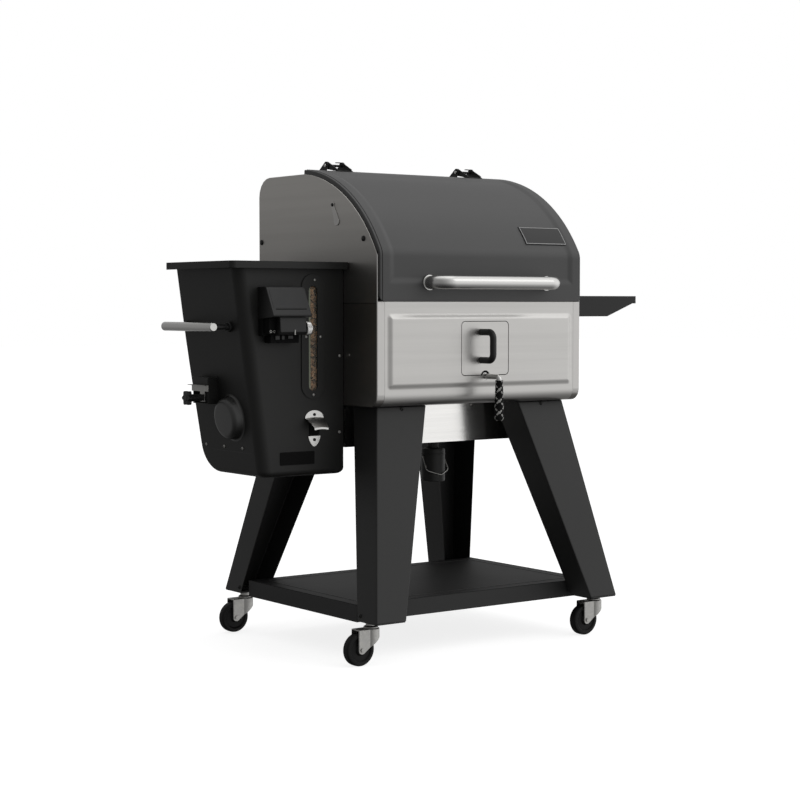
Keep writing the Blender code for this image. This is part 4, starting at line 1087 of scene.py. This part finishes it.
def loose_pellets(front):
    """Short pressed pellets lying at all angles behind the strip, over a solid heap."""
    draw = random.Random(7)
    heap = bmesh.new()
    shade = heap.verts.layers.float.new("shade")
    for _ in range(420):
        x = WINDOW_X + draw.uniform(-0.019, 0.019)
        z = draw.uniform(0.642, 0.914)
        y = front + 0.0040 + draw.uniform(0.0, 0.0075)
        long = draw.uniform(0.009, 0.019)
        tilt = Vector((draw.uniform(-1, 1), draw.uniform(-0.5, 0.5), draw.uniform(-0.9, 0.9))).normalized()
        before = len(heap.verts)
        bmesh.ops.create_cone(
            heap, cap_ends=True, segments=8, radius1=0.0031, radius2=0.0031, depth=long,
            matrix=Matrix.Translation((x, y, z)) @ UP.rotation_difference(tilt).to_matrix().to_4x4(),
        )
        heap.verts.ensure_lookup_table()
        dark = draw.uniform(0.0, 1.0) ** 1.3
        for v in heap.verts[before:]:
            v[shade] = dark
    mesh = bpy.data.meshes.new("bulk")
    bulk = refined("pellets", 0.004, 2)
    for v in bulk.verts:
        v.co.y = max(v.co.y, front + 0.0105)
    bulk.to_mesh(mesh)
    bulk.free()
    heap.from_mesh(mesh)
    show("pellet_heap", heap, "cart", "wood", "wood", ("pellets",), 40.0)


def purge_pieces():
    """The clean-out chute with its flange, the gate and the star knob on its screw."""
    keep("purge_chute", width=0.0008)
    keep("purge_plate", width=0.0004)
    cover = soften(box((-0.6204, 0.0335, 0.6590), (-0.6190, 0.1035, 0.6855)), 0.0004, 2)
    show("purge_cover", cover, "cart", "black_paint", "black_paint")
    flange = prism(rounded(0.0270, 0.1100, 0.6165, 0.6915, 0.004, 4), "X", -0.0012, 0.0008)
    bmesh.ops.rotate(flange, verts=flange.verts, cent=(0, 0, 0.654), matrix=Matrix.Rotation(-LEAN, 3, "Y"))
    bmesh.ops.translate(flange, verts=flange.verts, vec=(hopper_left(0.654), 0, 0))
    show("purge_flange", flange, "cart", "black_paint", "black_paint")
    y, z = 0.0560, 0.6370
    star = []
    for i in range(96):
        turn = tau * i / 96
        reach = 0.0164 + 0.0026 * cos(6 * turn)
        star.append((y + reach * cos(turn), z + reach * sin(turn)))
    knob = soften(prism(star, "X", -0.6700, -0.6580), 0.0020, 3, 60.0)
    show("star_knob", knob, "purge_knob", "plastic", "plastic", ("purge_knob",))
    neck = turned([(0, 0), (0.0078, 0), (0.0088, 0.004), (0.0078, 0.012), (0.0100, 0.036), (0, 0.036)],
                  (-0.6226, y, z), LEFT, 32)
    show("star_knob_neck", neck, "purge_knob", "plastic", "plastic")
    cap = turned([(0, 0), (0.0085, 0), (0.0078, 0.0012), (0, 0.0015)], (-0.6700, y, z), LEFT, 32)
    show("star_knob_cap", cap, "purge_knob", "plastic", "plastic")


def opener():
    """The bottle opener: a domed plate, a hood that leans out over a neck drawn near black as painted shade,
    and a shield below.
    """
    x, face = -0.4134, HOP_FRONT - 0.0003
    wide, crown, brow = 0.0273, 0.6073, 0.5876
    chin, tip, half, reach = 0.5440, 0.5182, 0.0181, 0.0318
    dome, shield = [], []
    for i in range(25):
        over, up = cos(pi * i / 24), sin(pi * i / 24)
        dome.append((x + wide * over, brow + (crown - brow) * up))
        shield.append((x + half * over * (1 - 0.25 * up), chin - (chin - tip) * up))
    plates = [soften(outward(prism(outline, "Y", face - 0.0020, face)), 0.0006, 2, 50.0)
              for outline in (dome, shield)]
    path = [(0.0012, brow + 0.0012), (0.0100, 0.5850), (0.0220, 0.5765), (0.0300, 0.5690), (reach, 0.5665),
            (reach, 0.5625)]

    def place(side, i):
        out, z = path[i]
        return (x + side * (wide - 0.0072 * out / reach), face - out, z - 0.0022 * side**2)

    hood = patch(stations((-1, 1, 12)), range(len(path)), place)
    bmesh.ops.solidify(hood, geom=hood.faces[:], thickness=0.0014)
    show("opener_plate", joined([*plates, outward(hood)]), "cart", "polished", "stainless",
         ("bottle_opener",))
    # Painted shade: the neck under the hood is drawn as a near-black sheet.
    neck = soften(box((x - 0.0150, face - 0.0012, chin - 0.002), (x + 0.0150, face, brow)), 0.0004, 2)
    show("opener_catch", neck, "cart", "recess_black", "stainless")
    bolts("opener_screws", "cart", "zinc", "black_paint", "cross", 0.0040,
          [((x, face - 0.0020, 0.5965), FRONT), ((x, face - 0.0020, 0.5350), FRONT)])


def hopper_small_parts():
    """Screws and the blank name plate."""
    bolts("hopper_side_screws", "cart", "zinc", "zinc", "cross", 0.0042,
          [(Vector((hopper_left(0.5155), y, 0.5155)), WALL_OUT) for y in (0.1245, 0.0375, -0.0476)])
    bolts("hopper_front_screws", "cart", "zinc", "zinc", "cross", 0.0040,
          [((-0.3370, HOP_FRONT, 0.7386), FRONT), ((-0.3380, HOP_FRONT, 0.5507), FRONT)])
    face = HOP_FRONT - 0.0003
    outline = rounded(-0.5125, -0.4128, 0.4757, 0.5074, 0.002, 4)
    plate = soften(prism(outline, "Y", face - 0.0012, face), 0.0004, 2, 50)
    show("hopper_plate", plate, "cart", "recess_black", "black_paint")


def controller():
    """The control box: a sloped display face, a connector bay with its sockets drawn near black as painted
    shade, and the keys below.
    """
    face = HOP_FRONT - 0.0003
    left, right = -0.5730, CONTROL_RIGHT
    wedge = [(face, 0.8300), (face, 0.9075), (face - 0.0330, 0.9075), (face - 0.0368, 0.9045),
             (face - 0.0683, 0.8410), (face - 0.0672, 0.8365), (face - 0.0600, 0.8345)]
    head = soften(prism(wedge, "X", left, right), 0.0016, 3, 20.0)
    block = [(face - 0.010, 0.7925), (face - 0.010, 0.8380), (face - 0.0560, 0.8380), (face - 0.0598, 0.8000),
             (face - 0.0540, 0.7930)]
    lower = soften(prism(block, "X", left + 0.026, right - 0.009), 0.0015, 3, 30.0)
    show("control_box", joined([head, lower]), "cart", "plastic", "plastic", ("control_housing",))
    # Painted shade: the back, the bay and the foot under the display's overhang are near black.
    back = soften(box((left + 0.0005, face - 0.0180, 0.7900), (right - 0.010, face, 0.8340)), 0.0012, 2)
    bay = soften(box((left + 0.006, face - 0.0400, 0.7945), (left + 0.0255, face - 0.010, 0.8330)), 0.0010, 2)
    foot = soften(box((left + 0.018, face - 0.0270, 0.7730), (right - 0.010, face, 0.7935)), 0.0012, 2)
    show("control_bay", joined([back, bay, foot]), "cart", "recess_black", "plastic")
    top, low = Vector((0, face - 0.0372, 0.9040)), Vector((0, face - 0.0679, 0.8418))
    down = (low - top).normalized()
    tall = (low - top).length
    lean = Matrix((RIGHT, down, Vector(RIGHT).cross(down))).transposed().to_4x4()

    def panel(x0, x1, t0, t1, rise, finish, name, radius=0.0015):
        bm = prism(rounded(x0, x1, t0, t1, radius, 4), "Z", 0.0010, -rise)
        bmesh.ops.transform(bm, verts=bm.verts, matrix=Matrix.Translation(top) @ lean)
        show(name, soften(outward(bm), 0.0003, 2, 40.0), "cart", finish, "plastic")

    panel(left + 0.006, right - 0.006, 0.003, tall * 0.76, 0.0004, "screen", "display")
    panel(left + 0.012, right - 0.010, tall * 0.785, tall * 0.815, 0.0005, "recess_black", "display_line",
          0.0004)
    rings = [turned([(0.0022, 0), (0.0032, 0), (0.0032, 0.0016), (0.0022, 0.0016)],
                    (left + 0.0100 + 0.0100 * i, face - 0.0400, 0.8010), FRONT, 24) for i in range(2)]
    tab = [(0, 0), (0.0022, 0), (0.0020, 0.0120), (0, 0.0120)]
    rings.append(turned(tab, (left + 0.0660, face - 0.0600, 0.7930), UP, 20))
    show("probe_sockets", joined(rings), "cart", "zinc", "zinc")
    plugs = [box((left + 0.0300, face - 0.0300, 0.7810), (left + 0.0420, face - 0.0260, 0.7910)),
             box((left + 0.0480, face - 0.0300, 0.7810), (left + 0.0560, face - 0.0260, 0.7910)),
             box((left + 0.0660, face - 0.0300, 0.7830), (left + 0.0800, face - 0.0260, 0.7910))]
    show("control_keys", soften(joined(plugs), 0.0008, 2), "cart", "badge_black", "plastic")


def dial():
    """The knurled dial on the control box's right side."""
    centre = (CONTROL_RIGHT - 0.0056, HOP_FRONT - 0.0443, 0.8080)
    knurl = []
    for i in range(72):
        turn = tau * i / 72
        reach = 0.0158 + (0.0007 if i % 2 else 0.0)
        knurl.append((reach * cos(turn), reach * sin(turn)))
    barrel = soften(aimed(prism(knurl, "Z", 0.0015, 0.0125), centre, RIGHT), 0.0003, 1, 60.0)
    collar = turned([(0, 0), (0.0150, 0), (0.0158, 0.0008), (0.0158, 0.0018), (0, 0.0018)], centre, RIGHT, 64)
    crown = turned([(0, 0.0120), (0.0155, 0.0120), (0.0152, 0.0140), (0.0140, 0.0150), (0, 0.0150)],
                   centre, RIGHT, 64)
    show("dial", joined([barrel, collar, crown]), "dial", "polished", "polished", ("control_dial",))


# --- cart ----------------------------------------------------------------------------------------


def legs():
    """The four channel legs with rounded edges, a dark foot lip and their bolts."""
    for where, (sx, sy) in CORNERS.items():
        keep(f"leg_{where}", "leg_paint", 0.0006, 2)
        lip = prism(rounded(0.2975, 0.3850, 0.2700, 0.3490, 0.006, 4), "Z", 0.1035, 0.1070)
        bmesh.ops.scale(lip, verts=lip.verts, vec=(sx, sy, 1))
        show(f"foot_lip_{where}", soften(outward(lip), 0.0010, 2), "cart", "plastic", "plastic")
        bolts(f"leg_bolt_{where}", "cart", "zinc", "black_paint", "button", 0.0050,
              [((sx * 0.3843, sy * 0.2790, 0.1180), (sx, 0, 0)),
               ((sx * 0.2250, sy * 0.2310, 0.6080), (0, sy, 0))])


def shelves():
    """The bottom shelf with a pressed line round its top, and the hemmed side shelf."""
    # The bottom shelf's finish has painted shade on its upper face.
    keep("bottom_shelf", "low_shelf_paint", 0.0015, 3)
    a, b, z, w = 0.3400, 0.2150, 0.1400, 0.0035
    outer = rounded(-a, a, -b, b, 0.012, 8)
    inner = rounded(-a + w, a - w, -b + w, b - w, 0.010, 8)
    ring = carved(prism(outer, "Z", z - 0.0006, z + 0.0008), prism(inner, "Z", z - 0.01, z + 0.01))
    show("shelf_bead", soften(ring, 0.0005, 2), "cart", "black_paint", "black_paint")
    keep("side_shelf", "shelf_paint", 0.0012, 3)


def fork_plan(half, nose, end):
    """The fork from above: two straight cheeks that run on into a round nose about the swivel."""
    turn = degrees(asin(half / nose))
    return [(end, -half)] + arc((0, 0), nose, -turn, turn - 360, 32) + [(end, half)]


def casters():
    """Swivel casters: a pressed fork under a ball race, a wheel with a moulded hub, and its bolt."""
    ahead = TRAIL.normalized()
    roll = TRAIL.cross(UP).normalized()
    turn = Matrix((ahead, roll, UP)).transposed().to_4x4()
    axle, cheek = TRAIL.length, WHEEL_W / 2 + 0.0025
    outer, end = cheek + SHEET, axle + 0.0100
    for where, (sx, sy) in CORNERS.items():
        swivel = Vector((sx * CASTER_X, sy * CASTER_Y, 0))
        hub = swivel + TRAIL + UP * WHEEL_R
        block = soften(prism(fork_plan(outer, 0.0210, end), "Z", 0.020, FORK_TOP), 0.0022, 4, 60.0)
        hollow = prism(fork_plan(cheek, 0.0190, end + 0.010), "Z", 0.0, FORK_TOP - SHEET)
        below = [(end + 0.02, 0.0), (end + 0.02, WHEEL_R + 0.002), (end + 0.0002, WHEEL_R + 0.002)]
        below += arc((axle, WHEEL_R), 0.0100, 0, -127, 16)
        below += [(-0.0230, 0.0725), (-0.05, 0.0725), (-0.05, 0.0)]
        pressed = carved(block, hollow, prism(below, "Y", -0.04, 0.04))
        race = turned([(0, -0.001), (0.0165, -0.001), (0.0178, 0.0010), (0.0178, 0.0030), (0.0155, 0.0050),
                       (0.0125, 0.0062), (0.0125, 0.0150), (0, 0.0150)], (0, 0, FORK_TOP), UP, 48)
        fork = joined([pressed, race])
        bmesh.ops.transform(fork, verts=fork.verts, matrix=Matrix.Translation(swivel) @ turn)
        show(f"fork_{where}", outward(fork), f"caster_{where}", "zinc", "zinc", (f"caster_fork_{where}",))
        ends = [bolt_shape(hub + roll * side * outer, roll * side, 0.0052, kind)
                for side, kind in ((-1, "hex"), (1, "button"))]
        shank = rod(hub - roll * outer, hub + roll * outer, 0.0040, 20)
        show(f"axle_{where}", joined([*ends, shank]), f"caster_{where}", "zinc", "zinc",
             (f"caster_axle_{where}",))
        h = WHEEL_W / 2
        tyre = [(0.0048, -h), (0.0115, -h), (0.0125, -h + 0.001), (0.0140, -h + 0.0035),
                (0.0270, -h + 0.0040), (0.0290, -h + 0.0015), (0.0305, -h + 0.0004),
                (0.0355, -h + 0.0004), (0.0378, -h + 0.0016), (WHEEL_R - 0.0003, -h + 0.0045),
                (WHEEL_R, -h + 0.0080)]
        wheel = turned(tyre + [(r, -z) for r, z in reversed(tyre)], hub, roll, 64)
        show(f"wheel_{where}", wheel, f"wheel_{where}", "wheel_rubber", "wheel_rubber",
             (f"caster_wheel_{where}",), 28.0)


def ash_cup():
    """The ash cup with a rolled rim, its wire bail and two bail eyes."""
    x, y = 0.036, FEED_Y
    profile = [(0, 0.4000), (0.0290, 0.4000), (0.0308, 0.4008), (0.0315, 0.4030), (0.0315, 0.4830),
               (0.0300, 0.4860), (0.0200, 0.4888), (0.0180, 0.4880), (0.0190, 0.4866), (0.0295, 0.4835),
               (0.0295, 0.4025), (0, 0.4020)]
    bead = [(0.0310, 0.4700), (0.0322, 0.4712), (0.0324, 0.4725), (0.0322, 0.4738), (0.0310, 0.4750)]
    cup = joined([turned(profile, (x, y, 0), UP, 56), turned(bead, (x, y, 0), UP, 56)])
    show("cup_body", cup, "ash_cup", "black_paint", "black_paint", ("ash_cup",))
    bail = [(x - 0.0330, y, 0.4650), (x - 0.0360, y - 0.020, 0.4300), (x, y - 0.036, 0.4180),
            (x + 0.0360, y - 0.020, 0.4300), (x + 0.0330, y, 0.4650)]
    show("cup_bail", bent_tube(bail, 0.0013, 0.012, 10, 8), "ash_cup", "zinc", "zinc")
    eyes = [rod((x + side * 0.0310, y, 0.4650), (x + side * 0.0345, y, 0.4650), 0.0030, 20)
            for side in (-1, 1)]
    show("cup_eyes", joined(eyes), "ash_cup", "zinc", "zinc")


# --- setting -------------------------------------------------------------------------------------


def daylight():
    """A soft studio sky: bright to the right and in front, dimmer on the left and below."""
    world = bpy.data.worlds.new("studio")
    world.use_nodes = True
    bpy.context.scene.world = world
    tree = world.node_tree
    back = tree.nodes["Background"]
    back.inputs["Color"].default_value = (1.0, 1.0, 1.0, 1.0)
    way = tree.nodes.new("ShaderNodeTexCoord")
    parts = tree.nodes.new("ShaderNodeSeparateXYZ")
    tree.links.new(way.outputs["Generated"], parts.inputs[0])
    x, y, z = (Signal(tree, parts.outputs[name]) for name in "XYZ")
    right = x.band(-0.9, 1.1) * (1 - y.band(-0.1, 0.6) * 0.7)
    level = 0.25 + right * 0.88 + z.band(0.45, 0.95) * 0.12
    glow = level * z.band(-1.05, 0.10) + 0.03
    ray = Signal(tree, tree.nodes.new("ShaderNodeLightPath").outputs["Is Camera Ray"])
    wire(tree, glow * (1 - ray) + ray * 1.0, back.inputs["Strength"])


def lamp(name, at, size, power, aim=(0, 0, 0.75)):
    light = bpy.data.lights.new(name, "AREA")
    light.energy = power
    light.size = size
    holder = bpy.data.objects.new(name, light)
    holder.location = Vector(at) + MIDDLE
    holder.rotation_euler = (Vector(aim) - Vector(at)).to_track_quat("-Z", "Y").to_euler()
    bpy.context.scene.collection.objects.link(holder)


def studio():
    """Floor, lamps and camera."""
    daylight()
    lamp("key", (2.4, -3.2, 3.4), 2.4, 11)
    lamp("overhead", (0.2, 0.2, 4.2), 3.2, 13)
    floor = bmesh.new()
    bmesh.ops.create_grid(floor, x_segments=1, y_segments=1, size=30.0)
    mesh = bpy.data.meshes.new("floor")
    floor.to_mesh(mesh)
    floor.free()
    pale = Finish("floor_pale", (0.45, 0.45, 0.45), 0.9, 0.0, Specular_IOR_Level=0.0)
    pale.set("Emission Color", (1.0, 1.0, 1.0, 1.0))
    pale.set("Emission Strength", 0.82)
    mesh.materials.append(pale.material)
    ground = bpy.data.objects.new("floor", mesh)
    ground.visible_diffuse = False
    ground.visible_glossy = False
    bpy.context.scene.collection.objects.link(ground)
    camera = bpy.data.cameras.new("camera")
    camera.lens = 83.16
    camera.sensor_width = 36.0
    camera.clip_end = 200.0
    holder = bpy.data.objects.new("camera", camera)
    holder.location = Vector((-2.912, -3.8886, 0.8665)) + MIDDLE
    holder.rotation_euler = Vector((0.5905, 0.8054, -0.0519)).to_track_quat("-Z", "Y").to_euler()
    bpy.context.scene.collection.objects.link(holder)
    bpy.context.scene.camera = holder
    bpy.context.scene.view_settings.view_transform = "Standard"


def build():
    side_panels()
    for node in ("back_panel", "floor_panel", "smoke_box", "drip_tray",
                 "heat_deflector", "fire_pot", "drawer_box", "valve_plate", "auger_tube", "auger_screw",
                 "auger_motor", "probe_cover"):
        keep(node)
    front_panel()
    drawer_front()
    valve_lever()
    braided_grip()
    grates()
    cook_box_fasteners()
    skirt_details()
    lid_skin()
    lid_handle()
    name_plate()
    hinges()
    hopper_shell()
    hopper_pressings()
    hopper_cap()
    hopper_bar()
    hopper_window()
    purge_pieces()
    opener()
    hopper_small_parts()
    controller()
    dial()
    legs()
    shelves()
    casters()
    ash_cup()


build()
studio()
